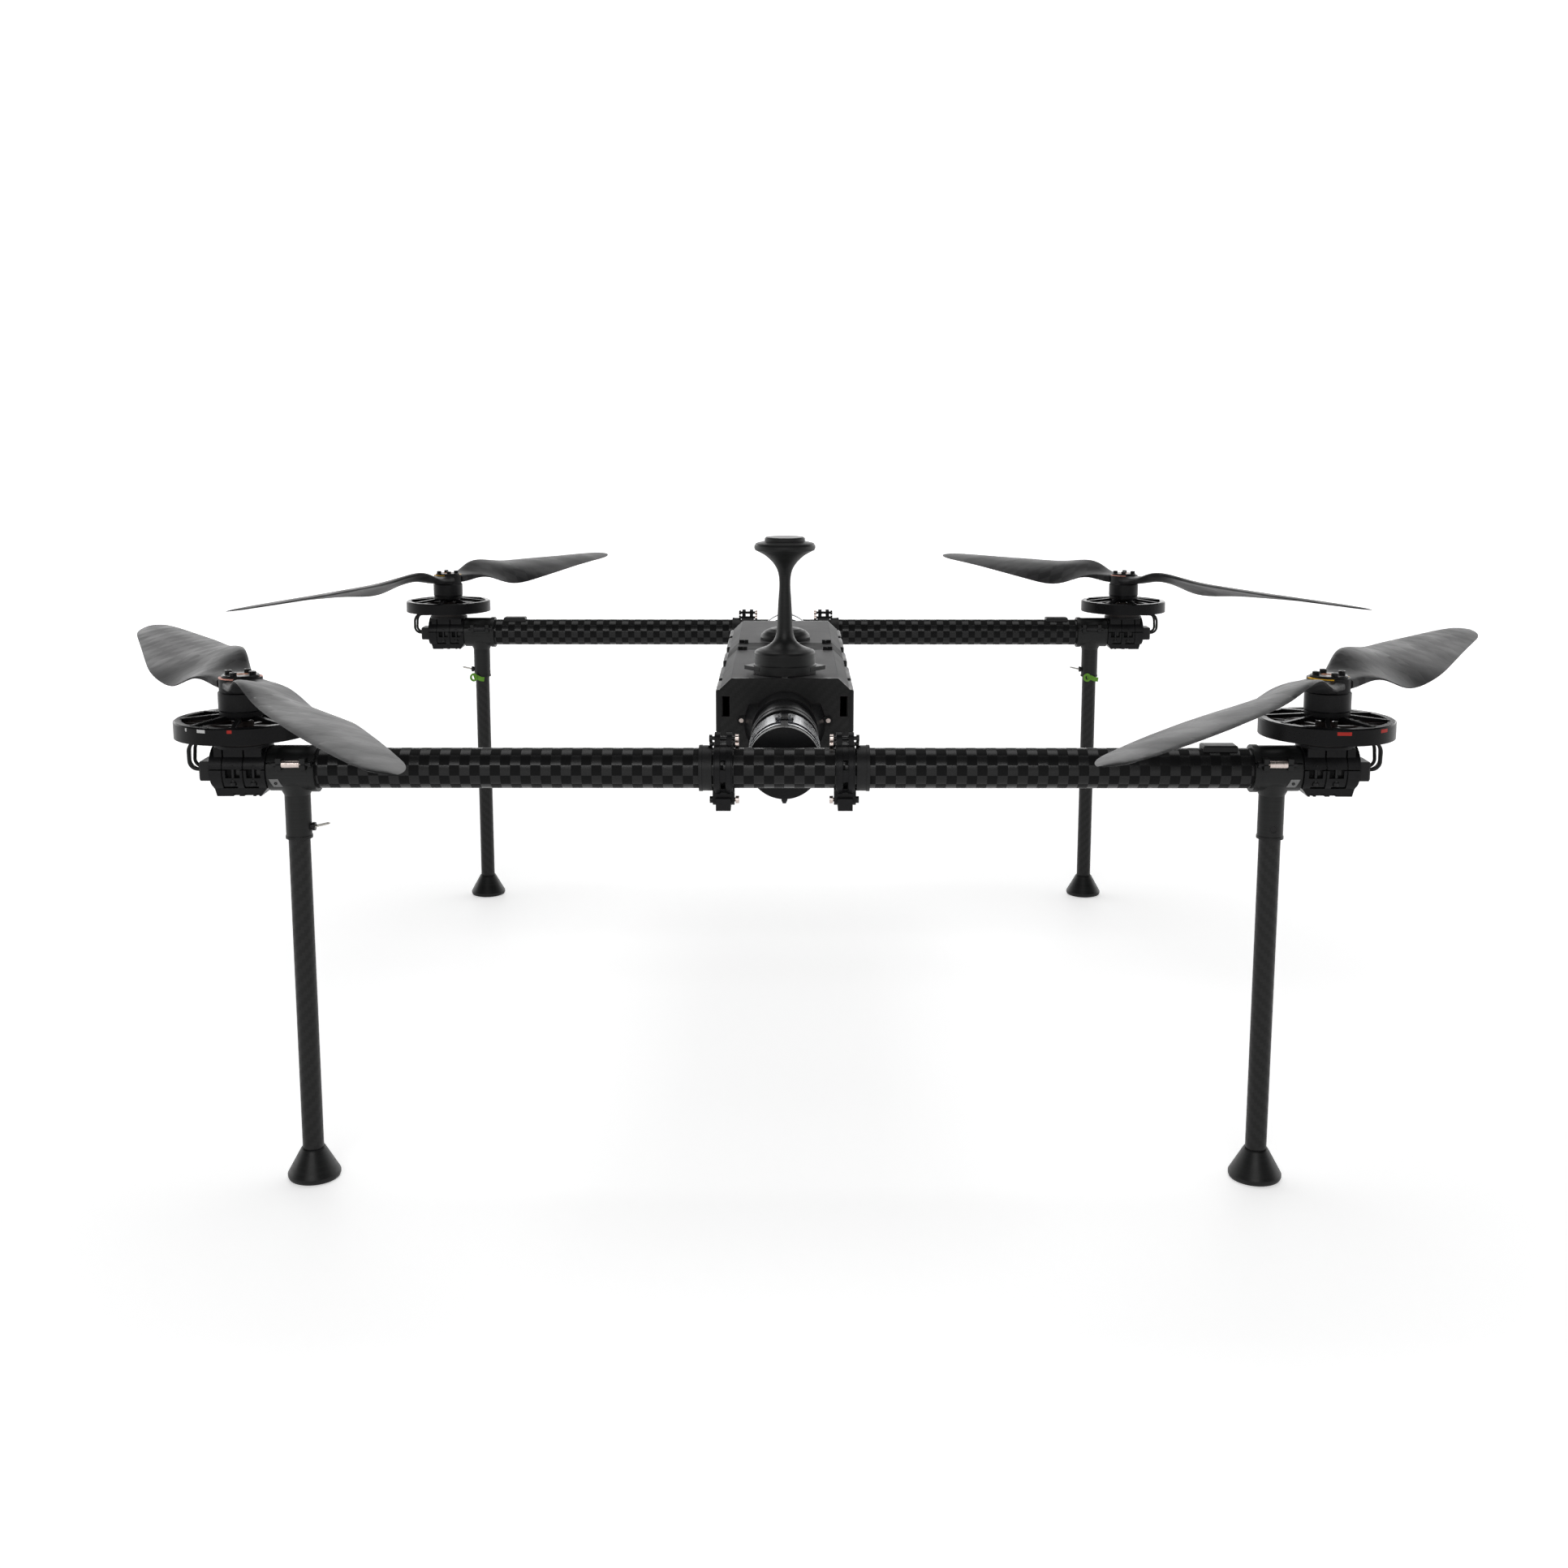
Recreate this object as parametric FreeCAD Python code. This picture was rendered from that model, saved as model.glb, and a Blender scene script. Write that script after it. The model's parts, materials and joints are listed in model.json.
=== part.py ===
"""Heavy-lift quadcopter: an H-shaped tube airframe with a box fuselage, four motors and four legs.

The frame: +X is to the aircraft's left seen from its nose, the nose looks along -Y and +Z is up.
The origin is on the ground, midway between the four motor axes. All sizes are in millimetres.
"""
import FreeCAD, Part
import math
import os

V = FreeCAD.Vector
ORIGIN = V(0, 0, 0)
AXIS_X = V(1, 0, 0)
AXIS_Y = V(0, 1, 0)
AXIS_Z = V(0, 0, 1)

# ---- driving dimensions -------------------------------------------------------------------------
MOTOR_X = 400.0                  # motor axes stand on an 800 mm square
MOTOR_Y = 400.0
TUBE_Z = 321.0                   # axis of the cross tubes
TUBE_R = 15.0                    # 30 mm tube
TUBE_WALL = 1.5
TUBE_END = 421.0                 # outer end of an arm tube
MOUNT_IN = 380.5                 # ends of a motor mount
MOUNT_OUT = 421.5
MOUNT_R = 18.6
MOUNT_FOOT = 302.2
MOUNT_SPLIT = 323.0
PLUG_END = 431.5
JOINT_X = 45.0                   # where an arm tube meets the centre tube
LEG_X = 362.0
LEG_R = 8.0                      # 16 mm tube
LEG_WALL = 1.0
LEG_TOP = 300.0
SOCKET_R = 9.5
SOCKET_BOTTOM = 268.0
BARREL_Z = 327.5                 # pinch bolt of a leg tee
PIN_Z = 276.5
PIN_R = 2.5
PIN_FIT = 0.05                   # radial running clearance of pins and shafts
FOOT_R = 20.0
FOOT_H = 24.0
PROP_R = 381.0                   # 30 inch propeller
PROP_PITCH = 267.0               # 10.5 inch pitch
PROP_BOTTOM = 379.0
PROP_HUB_H = 10.4
CLAMP_H = 1.8
BELL_R = 49.0
BELL_BOTTOM = 346.6
BELL_TOP = 359.0
ADAPTER_R = 16.9
ADAPTER_BOTTOM = 364.6
SHAFT_R = 4.0
PLATFORM_TOP = 340.5
STATOR_BASE_R = 20.5
LEAD_R = 1.3
BODY_END = 204.0                 # fuselage half length
BODY_W = 55.0                    # fuselage half width
TOP_W = 45.5                     # half width of the flat top
TOP_Z = 358.0
SHOULDER_Z = 349.0
FLOOR_Z = 289.0
PLATE = 3.0                      # bulkhead thickness
SKIN = 2.0                       # panel and cover thickness
MID_HALF = 24.5                  # half length of the middle frame
COVER_GAP = 0.6
HINGE_Y = 24.8
HINGE_Z = 359.2
HINGE_IN = 36.0                  # a hinge runs from here, changes over here and ends here
HINGE_SPLIT = 39.6
HINGE_OUT = 44.6
KNUCKLE_R = 1.7
KNUCKLE_GAP = 0.4
HINGE_PIN_R = 0.8
RAIL_X = 45.0
RAIL_W = 11.0
RAIL_BOTTOM = 291.0
RAIL_TOP = 300.0
RAIL_END = 412.0
PAYLOAD_X = 45.0                 # payload holes through the floor and the rails
PAYLOAD_Y = 80.0
PAYLOAD_HOLE_R = 2.1
NECK_Z = 319.3
NECK_R = 27.7
NECK_TUBE_R = 25.4
NECK_END = 375.0
MAST_Y = -174.0
MAST_TOP = 472.0
PUCK_Y = 50.2

CORNERS = {"front_left": (-1, -1), "front_right": (1, -1), "rear_left": (-1, 1), "rear_right": (1, 1)}
PARKED = {  # direction of the blades at rest in degrees from +X, and spin: 1 is anticlockwise from above
    "front_left": (121.2, -1),
    "front_right": (52.5, 1),
    "rear_left": (64.6, 1),
    "rear_right": (120.7, -1),
}
PIN_HEADS = {  # direction of each leg pin's head in degrees from +X
    "front_left": 0.0,
    "front_right": 90.0,
    "rear_left": 180.0,
    "rear_right": 180.0,
}


# ---- helpers ------------------------------------------------------------------------------------
def box(x0, x1, y0, y1, z0, z1):
    return Part.makeBox(x1 - x0, y1 - y0, z1 - z0, V(x0, y0, z0))


def cyl(start, axis, radius, length):
    return Part.makeCylinder(radius, length, start, axis)


def ring(start, axis, outer, inner, length):
    return cyl(start, axis, outer, length).cut(cyl(start, axis, inner, length))


def prism(points, push):
    """A polygon's solid: the points are vectors in one plane, pushed along a vector."""
    wire = Part.makePolygon(points + [points[0]])
    return Part.Face(wire).extrude(push)


def xz_prism(outline, y0, y1):
    return prism([V(x, y0, z) for x, z in outline], V(0, y1 - y0, 0))


def turned(outline, centre, axis=AXIS_Z):
    """Turn an outline of (radius, height) points about an axis through a centre."""
    points = [V(r, 0, h) for r, h in outline]
    face = Part.Face(Part.makePolygon(points + [points[0]]))
    solid = face.revolve(V(0, 0, 0), AXIS_Z, 360)
    solid.Placement = FreeCAD.Placement(centre, FreeCAD.Rotation(AXIS_Z, axis))
    return solid


def turned_smooth(foot, curve, head, centre):
    """Revolve an outline whose middle run is one smooth curve."""
    spline = Part.BSplineCurve()
    spline.interpolate([V(r, 0, z) for r, z in curve])
    corners = [V(r, 0, z) for r, z in head + foot]
    edges = [spline.toShape(), Part.LineSegment(V(curve[-1][0], 0, curve[-1][1]), corners[0]).toShape()]
    edges += [Part.LineSegment(a, b).toShape() for a, b in zip(corners, corners[1:])]
    edges.append(Part.LineSegment(corners[-1], V(curve[0][0], 0, curve[0][1])).toShape())
    return Part.Face(Part.Wire(edges)).revolve(V(0, 0, 0), AXIS_Z, 360).translated(centre)


def fused(shapes):
    return shapes[0].fuse(shapes[1:]).removeSplitter()


def flipped(shape, normal):
    return shape.mirror(V(0, 0, 0), normal)


def at_corner(shape, name):
    """Take a shape built on the +X side, on the tube axis at Y = 0, to one of the corners."""
    side, end = CORNERS[name]
    if side < 0:
        shape = flipped(shape, AXIS_X)
    return shape.translated(V(0, end * MOTOR_Y, 0))


def at_corners(shape):
    return [at_corner(shape, name) for name in CORNERS]


def front_and_rear(shape):
    return [shape, flipped(shape, AXIS_Y)]


def left_and_right(shape):
    return [shape, flipped(shape, AXIS_X)]


def save(name, shapes):
    if not isinstance(shapes, list):
        shapes = [shapes]
    solids = [solid for shape in shapes for solid in shape.Solids]
    whole = solids[0] if len(solids) == 1 else Part.makeCompound(solids)
    for solid in solids:
        if not solid.isValid() or solid.Volume <= 0:
            print("CHECK", name, "valid", solid.isValid(), "volume", round(solid.Volume, 1))
    whole.exportStep(os.path.join("parts", name + ".step"))
    print(name, len(solids), "solids", round(whole.Volume / 1000, 2), "cm3")


# ---- arms, legs and their fittings --------------------------------------------------------------
def arm_tube():
    start = V(JOINT_X + 0.1, 0, TUBE_Z)
    return ring(start, AXIS_X, TUBE_R, TUBE_R - TUBE_WALL, TUBE_END - JOINT_X - 0.1)


def centre_tube():
    start = V(-JOINT_X, -MOTOR_Y, TUBE_Z)
    return ring(start, AXIS_X, TUBE_R, TUBE_R - TUBE_WALL, 2 * JOINT_X)


def arm_collar():
    start = V(JOINT_X + 8.3, 0, TUBE_Z)
    collar = ring(start, AXIS_X, 16.9, TUBE_R, 9.7)
    lip = ring(start + V(7.2, 0, 0), AXIS_X, 17.3, 16.5, 2.5)
    nut_notch = box(50.0, 56.0, -6.0, 6.0, 335.5, 345.0)
    return fused([collar, lip]).cut(nut_notch)


def leg_tube():
    bore = cyl(V(LEG_X, 0, 0), AXIS_Z, LEG_R - LEG_WALL, LEG_TOP)
    return cyl(V(LEG_X, 0, 8.0), AXIS_Z, LEG_R, LEG_TOP - 8.0).cut(bore)


def leg_foot():
    outline = [(0, 0), (17.5, 0), (19.3, 0.7), (FOOT_R, 2.4), (FOOT_R, 4.4), (SOCKET_R + 0.2, FOOT_H - 1.0),
               (SOCKET_R - 0.5, FOOT_H), (LEG_R, FOOT_H), (LEG_R, 8.0), (0, 8.0)]
    return turned(outline, V(LEG_X, 0, 0))


def leg_tee():
    sleeve = cyl(V(346.0, 0, TUBE_Z), AXIS_X, 17.0, MOUNT_IN - 0.4 - 346.0)
    collar = cyl(V(345.0, 0, TUBE_Z), AXIS_X, 17.8, 4.5)
    saddle = Part.makeCone(SOCKET_R, 14.2, 9.0, V(LEG_X, 0, 301.0), AXIS_Z)
    neck = cyl(V(LEG_X, 0, 310.0), AXIS_Z, 14.2, 4.0)
    socket = cyl(V(LEG_X, 0, SOCKET_BOTTOM), AXIS_Z, SOCKET_R, 36.0)
    lip = cyl(V(LEG_X, 0, SOCKET_BOTTOM), AXIS_Z, SOCKET_R + 0.5, 2.0)
    lugs = [box(x, x + 4.0, -21.0, -12.0, 323.2, 331.8) for x in (349.9, 367.5)]
    body = fused([sleeve, collar, saddle, neck, socket, lip] + lugs)
    body = body.cut(cyl(V(340.0, 0, TUBE_Z), AXIS_X, TUBE_R, 45.0))
    body = body.cut(cyl(V(LEG_X, 0, 260.0), AXIS_Z, LEG_R, LEG_TOP - 260.0))
    slit = box(340.0, 385.0, -22.0, -13.0, BARREL_Z - 0.5, BARREL_Z + 0.5)
    return body.cut(slit).cut(tee_barrel())


def tee_barrel():
    """The pinch bolt of a leg tee, with the spacer between its lugs."""
    bolt = cyl(V(346.8, -18.9, BARREL_Z), AXIS_X, 1.5, 27.6)
    spacer = cyl(V(354.2, -18.9, BARREL_Z), AXIS_X, 2.8, 13.0)
    head = cyl(V(345.6, -18.9, BARREL_Z), AXIS_X, 2.6, 2.0)
    return fused([bolt, spacer, head])


def pin_axis(name):
    turn = math.radians(PIN_HEADS[name])
    return V(math.cos(turn), math.sin(turn), 0)


def leg_centre(name, height):
    side, end = CORNERS[name]
    return V(side * LEG_X, end * MOTOR_Y, height)


def pin_bore(name):
    axis = pin_axis(name)
    return cyl(leg_centre(name, PIN_Z) - axis * 16.0, axis, PIN_R + PIN_FIT, 32.0)


def leg_pin(name):
    """A quick-release pin: shank, head and a wire bail that tips up a little."""
    axis = pin_axis(name)
    start = leg_centre(name, PIN_Z)
    shank = cyl(start - axis * 9.2, axis, PIN_R, 19.6)
    head = cyl(start + axis * 10.3, axis, 3.2, 2.2)
    side = axis.cross(AXIS_Z)
    rise = (axis + AXIS_Z * 0.22).normalize()
    pieces = [shank, head]
    for sign in (-1, 1):
        foot = start + axis * 12.0 + side * (sign * 2.2)
        pieces.append(cyl(foot, rise, 0.6, 9.0))
    bend_centre = start + axis * 12.0 + rise * 9.0
    profile = Part.Face(Part.Wire(Part.makeCircle(0.6, bend_centre + side * 2.2, rise)))
    normal = side.cross(rise)
    bend = profile.revolve(bend_centre, normal, 180)
    pieces.append(bend)
    return fused(pieces)


# ---- motor mounts, motors and leads -------------------------------------------------------------
def mount_ends():
    """The side view of a motor mount: bevelled below, upright above."""
    return xz_prism([(MOUNT_IN, TUBE_Z + 30), (MOUNT_IN, 308.0), (385.0, MOUNT_FOOT), (417.5, MOUNT_FOOT),
                     (MOUNT_OUT, 317.0), (MOUNT_OUT, TUBE_Z + 30)], -30, 30)


def mount_grooves():
    """Two grooves round the mount, each hooked inboard at its foot, and the notches under the foot."""
    tools = []
    slot_z = 308.3
    above = box(370, 430, -30, 30, slot_z, 345)
    for x in (395.6, 411.0):
        groove = ring(V(x, 0, TUBE_Z), AXIS_X, 24.0, MOUNT_R - 1.4, 1.2).common(above)
        hook = box(x - 9.6, x + 1.2, -30, 30, slot_z, slot_z + 1.5)
        tools += [groove, hook.cut(cyl(V(370, 0, TUBE_Z), AXIS_X, TUBE_R + 1.3, 60))]
    for x0, x1 in ((386.5, 389.0), (391.0, 397.5), (401.0, 405.5)):
        for y0, y1 in ((-30, -9.5), (9.5, 30)):
            tools.append(box(x0, x1, y0, y1, MOUNT_FOOT - 1, MOUNT_FOOT + 2.0))
    return tools


MOUNT_SCREWS = [(x, y) for x in (389.0, 404.0) for y in (-16.6, 16.6)]


def mount_screws():
    screws = []
    for x, y in MOUNT_SCREWS:
        shank = cyl(V(x, y, 313.4), AXIS_Z, 1.2, 13.0)
        head = cyl(V(x, y, 310.9), AXIS_Z, 2.0, 2.5)
        screws.append(shank.fuse(head))
    return screws


def screw_pockets():
    pockets = []
    for x, y in MOUNT_SCREWS:
        pockets.append(cyl(V(x, y, 313.4), AXIS_Z, 1.2, 13.0))
        pockets.append(cyl(V(x, y, 298.0), AXIS_Z, 2.2, 15.4))
    return pockets


def motor_mount():
    """Upper half of the clamp, with the platform that the motor is bolted to."""
    start = V(MOUNT_IN, 0, TUBE_Z)
    upper = box(370, 430, -30, 30, MOUNT_SPLIT + 0.4, 345)
    shell = cyl(start, AXIS_X, MOUNT_R, MOUNT_OUT - MOUNT_IN).common(upper)
    pedestal = box(383.0, 418.0, -15.0, 15.0, TUBE_Z + 10, 338.5)
    platform = cyl(V(MOTOR_X, 0, 338.2), AXIS_Z, 21.5, PLATFORM_TOP - 338.2)
    body = fused([shell, pedestal, platform])
    return body.cut([cyl(V(370, 0, TUBE_Z), AXIS_X, TUBE_R, 60)] + mount_grooves() + screw_pockets())


def mount_cap():
    """Lower half of the clamp, with its flat foot and a window at each screw."""
    start = V(MOUNT_IN, 0, TUBE_Z)
    lower = box(370, 430, -30, 30, 290, MOUNT_SPLIT - 0.4)
    shell = cyl(start, AXIS_X, MOUNT_R, MOUNT_OUT - MOUNT_IN).common(lower)
    foot = box(MOUNT_IN, MOUNT_OUT, -13.0, 13.0, MOUNT_FOOT, 312.0)
    body = fused([shell, foot]).common(mount_ends())
    windows = []
    for x0, x1 in ((383.5, 393.8), (398.6, 409.2)):
        for y0, y1 in ((-30, -13.0), (13.0, 30)):
            windows.append(box(x0, x1, y0, y1, 316.8, 330))
    bore = cyl(V(370, 0, TUBE_Z), AXIS_X, TUBE_R, 60)
    return body.cut([bore] + windows + mount_grooves() + screw_pockets())


def arm_end_plug():
    stem = cyl(V(TUBE_END - 12.0, 0, TUBE_Z), AXIS_X, TUBE_R - TUBE_WALL, 12.0)
    cap = cyl(V(TUBE_END, 0, TUBE_Z), AXIS_X, TUBE_R - 0.5, 1.5)
    block = box(TUBE_END, PLUG_END, -9.5, 9.5, 313.0, 327.5)
    block = block.makeChamfer(1.2, [edge for edge in block.Edges if edge.CenterOfMass.x > PLUG_END - 0.1])
    return fused([stem, cap, block])


def nav_light():
    pad = box(308.5, 334.0, -7.0, 7.0, 333.0, 339.0)
    pad = pad.makeFillet(1.5, [edge for edge in pad.Edges if edge.CenterOfMass.z > 338.9])
    return pad.cut(cyl(V(300, 0, TUBE_Z), AXIS_X, TUBE_R, 40))


def speed_controller():
    """A slim board inside the arm, with its capacitors at one end."""
    board = box(250.0, 318.0, -10.0, 10.0, 316.0, 325.0)
    capacitors = [cyl(V(320.5, y, 320.5), AXIS_X, 4.2, 16.0) for y in (-4.6, 4.6)]
    neck = box(317.0, 322.0, -8.0, 8.0, 317.5, 323.5)
    return fused([board, neck] + capacitors)


def motor_stator():
    """Base, bearing tube, spider and 24 wound teeth in one fixed piece."""
    base = cyl(V(MOTOR_X, 0, PLATFORM_TOP), AXIS_Z, STATOR_BASE_R, 4.6)
    tube = cyl(V(MOTOR_X, 0, 342.0), AXIS_Z, 8.0, 15.0)
    core = ring(V(MOTOR_X, 0, 348.2), AXIS_Z, 30.0, 25.0, 7.0)
    pieces = [base, tube, core]
    for index in range(6):
        arm = box(6.0, 27.0, -2.0, 2.0, 347.6, 353.0)
        arm.rotate(V(0, 0, 0), AXIS_Z, index * 60)
        pieces.append(arm.translated(V(MOTOR_X, 0, 0)))
    for index in range(24):
        tooth = box(28.0, 42.8, -1.9, 1.9, 348.4, 355.0)
        shoe = box(42.6, 44.2, -4.6, 4.6, 348.6, 354.8)
        tooth = tooth.fuse(shoe)
        tooth.rotate(V(0, 0, 0), AXIS_Z, index * 15)
        pieces.append(tooth.translated(V(MOTOR_X, 0, 0)))
    body = fused(pieces)
    return body.cut(cyl(V(MOTOR_X, 0, 343.0), AXIS_Z, 6.5, 20.0))


def motor_bearings():
    centre = V(MOTOR_X, 0, 0)
    return [ring(centre + V(0, 0, z), AXIS_Z, 6.5, SHAFT_R + PIN_FIT, 4.5) for z in (343.4, 352.0)]


def lead_path(offset):
    """Centre line of one motor lead: out from the motor's foot, round and back into the arm's end."""
    out = 440.5 - abs(offset) * 0.25
    start_y = offset * 0.9
    nearest = max(0.0, abs(start_y) - LEAD_R)
    low_z = 320.0 + abs(offset) * 0.15
    start = V(MOTOR_X + math.sqrt(STATOR_BASE_R ** 2 - nearest ** 2), start_y, 342.9)
    outer_top = V(out, offset * 1.25, 343.0)
    outer_low = V(out + 0.5, offset * 0.8, low_z)
    return [start, outer_top, outer_low, V(PLUG_END, offset * 0.8, low_z)]


def rounded_path(points):
    """Straight runs joined by tangent arcs, each as large as its runs allow."""
    edges = []
    last = points[0]
    for before, corner, after in zip(points, points[1:], points[2:]):
        into = (corner - before).normalize()
        away = (after - corner).normalize()
        half_turn = into.getAngle(away) / 2
        trim = min(0.8 * min((corner - before).Length, (after - corner).Length), 9.0)
        radius = trim / math.tan(half_turn)
        enter = corner - into * trim
        leave = corner + away * trim
        bisector = (away - into).normalize()
        middle = corner + bisector * (radius / math.cos(half_turn) - radius)
        edges.append(Part.LineSegment(last, enter).toShape())
        edges.append(Part.Arc(enter, middle, leave).toShape())
        last = leave
    edges.append(Part.LineSegment(last, points[-1]).toShape())
    return Part.Wire(edges)


def motor_lead(offset):
    points = lead_path(offset)
    path = rounded_path(points)
    section = Part.Wire(Part.makeCircle(LEAD_R, points[0], points[1] - points[0]))
    return path.makePipeShell([section], True, False)


# ---- rotors -------------------------------------------------------------------------------------
def rotor_bell():
    rim = ring(V(0, 0, BELL_BOTTOM), AXIS_Z, BELL_R, 46.0, BELL_TOP - BELL_BOTTOM - 0.8)
    magnets = ring(V(0, 0, BELL_BOTTOM + 0.8), AXIS_Z, 46.1, 45.1, 9.0)
    flange = turned([(43.0, 357.2), (48.6, 357.2), (48.6, 358.2), (47.8, BELL_TOP), (43.0, BELL_TOP)], ORIGIN)
    hub = turned([(0, 358.6), (12.0, 358.6), (16.5, 361.0), (16.5, ADAPTER_BOTTOM), (0, ADAPTER_BOTTOM)], ORIGIN)
    shaft = cyl(V(0, 0, 344.0), AXIS_Z, SHAFT_R, 15.0)
    pieces = [rim, magnets, flange, hub, shaft]
    for index in range(8):
        corners = [(11, 359.0), (11, 362.4), (44.5, BELL_TOP + 0.3), (44.5, 357.4)]
        spoke = prism([V(x, -1.6, z) for x, z in corners], V(0, 3.2, 0))
        spoke.rotate(V(0, 0, 0), AXIS_Z, 22.5 + index * 45)
        pieces.append(spoke)
    return fused(pieces)


def prop_bolts():
    bolts = []
    for index in range(4):
        turn = math.radians(45 + index * 90)
        foot = V(10.0 * math.cos(turn), 10.0 * math.sin(turn), 0)
        seat = PROP_BOTTOM + PROP_HUB_H + CLAMP_H
        shank = cyl(foot + V(0, 0, 368.0), AXIS_Z, 1.5, seat - 367.8)
        head = cyl(foot + V(0, 0, seat), AXIS_Z, 2.6, 2.6)
        socket = cyl(foot + V(0, 0, seat + 1.2), AXIS_Z, 1.3, 2.0)
        bolts.append(shank.fuse(head).cut(socket))
    return bolts


def prop_fittings():
    """The tall spacer under the propeller, the clamp disc above it and the four bolts."""
    spacer = turned([(0, ADAPTER_BOTTOM), (16.2, ADAPTER_BOTTOM), (ADAPTER_R, ADAPTER_BOTTOM + 1.0),
                     (ADAPTER_R, PROP_BOTTOM - 0.8), (ADAPTER_R - 0.8, PROP_BOTTOM), (0, PROP_BOTTOM)], ORIGIN)
    clamp_z = PROP_BOTTOM + PROP_HUB_H
    clamp = turned([(3.0, clamp_z), (13.6, clamp_z), (13.6, clamp_z + 1.2), (13.0, clamp_z + CLAMP_H),
                    (3.0, clamp_z + CLAMP_H)], ORIGIN)
    bolts = prop_bolts()
    return [spacer.cut(bolts), clamp.cut(bolts)] + bolts


# (radius, chord, leading edge ahead of the pitch line, thickness, rise) of the blade's sections
BLADE = [
    (8, 31, 15.5, 9.6, 0.0), (20, 33, 16, 9.0, 0.2), (34, 37, 17.5, 7.8, 1.4), (50, 44, 20, 6.8, 3.2),
    (68, 54, 24, 6.0, 3.8), (90, 62, 28, 5.4, 2.8), (135, 66, 30, 4.6, 1.0), (190, 62, 32, 3.8, 0.2),
    (260, 51, 32, 3.0, 0.0), (325, 39, 30, 2.3, 0.0), (360, 28, 27, 1.7, 0.0), (376, 14, 21, 1.2, 0.0),
    (PROP_R, 4, 15, 0.7, 0.0),
]
TWIST_FROM, TWIST_FULL = 26.0, 84.0   # the blade's angle grows from nothing between these radii
BAR_UNTIL, FOIL_FROM = 20.0, 60.0     # its section turns from a square-edged bar into an airfoil


def eased(radius, start, end):
    """A smooth step from 0 at the start radius to 1 at the end radius."""
    step = min(1.0, max(0.0, (radius - start) / (end - start)))
    return step * step * (3 - 2 * step)


def blade_twist(radius):
    """Blade angle of a constant-pitch propeller, eased to flat at the hub."""
    full = math.atan(PROP_PITCH / (2 * math.pi * max(radius, 92.0)))
    return full * eased(radius, TWIST_FROM, TWIST_FULL)


def half_depth(fraction, radius):
    """Half thickness across a section: a square-edged bar at the root, an airfoil on the blade."""
    bar = (1 - abs(2 * 0.985 * fraction - 1) ** 3) ** (1 / 3)
    foil = 2.969 * math.sqrt(fraction) - 1.26 * fraction - 3.516 * fraction ** 2
    foil += 2.843 * fraction ** 3 - 0.9 * fraction ** 4
    return bar + (foil - bar) * eased(radius, BAR_UNTIL, FOIL_FROM)


def blade_section(radius, chord, lead, thickness, rise):
    twist = blade_twist(radius)
    steps = 9

    def point(fraction, sign):
        across = lead - chord * fraction
        camber = 0.035 * chord * 4 * fraction * (1 - fraction) * eased(radius, BAR_UNTIL, FOIL_FROM)
        up = camber + sign * half_depth(fraction, radius) * thickness / 2
        turned_y = across * math.cos(twist) - up * math.sin(twist)
        turned_z = across * math.sin(twist) + up * math.cos(twist)
        return V(radius, turned_y, PROP_BOTTOM + PROP_HUB_H / 2 + rise + turned_z)

    fractions = [0.5 - 0.5 * math.cos(math.pi * step / steps) for step in range(steps + 1)]
    upper = Part.BSplineCurve()
    upper.interpolate([point(fraction, 1) for fraction in fractions])
    lower = Part.BSplineCurve()
    lower.interpolate([point(fraction, -1) for fraction in reversed(fractions)])
    edges = [upper.toShape(), Part.LineSegment(point(1, 1), point(1, -1)).toShape(), lower.toShape()]
    return Part.Wire(edges)


def propeller(spin):
    blade = Part.makeLoft([blade_section(*row) for row in BLADE], True, False)
    if blade.Volume < 0:
        blade.reverse()
    other = blade.copy()
    other.rotate(V(0, 0, 0), AXIS_Z, 180)
    hub = cyl(V(0, 0, PROP_BOTTOM), AXIS_Z, 15.8, PROP_HUB_H)
    body = fused([hub, blade, other]).cut(prop_bolts() + [cyl(V(0, 0, 370), AXIS_Z, 3.0, 30)])
    if spin < 0:
        body = flipped(body, AXIS_Y)
    return body


def park(shape, name):
    """Turn a rotor piece to its angle at rest and take it to its motor."""
    side, end = CORNERS[name]
    parked = shape.copy()
    parked.rotate(V(0, 0, 0), AXIS_Z, PARKED[name][0])
    return parked.translated(V(side * MOTOR_X, end * MOTOR_Y, 0))


# ---- rails, tube clamps and fasteners -----------------------------------------------------------
def rail():
    bar = box(RAIL_X - RAIL_W / 2, RAIL_X + RAIL_W / 2, -RAIL_END, RAIL_END, RAIL_BOTTOM, RAIL_TOP)
    holes = [cyl(V(PAYLOAD_X, y, 280), AXIS_Z, PAYLOAD_HOLE_R, 30) for y in (-PAYLOAD_Y, PAYLOAD_Y)]
    cross_holes = [clamp_bolt(y, 297.0) for y in (-MOTOR_Y, MOTOR_Y)]
    return bar.cut(holes + cross_holes)


def clamp_bolt(y, z):
    """A bolt along X through a tube clamp, with its head inboard and its nut outboard."""
    shank = cyl(V(35.0, y, z), AXIS_X, 1.5, 20.0)
    head = cyl(V(33.6, y, z), AXIS_X, 2.8, 2.6)
    nut = cyl(V(53.2, y, z), AXIS_X, 2.6, 2.2)
    return fused([shank, head, nut])


def clamp_bolts():
    return [clamp_bolt(-MOTOR_Y + dy, z) for dy, z in ((-2.5, 343.9), (2.5, 338.6), (0.0, 297.0))]


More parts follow.
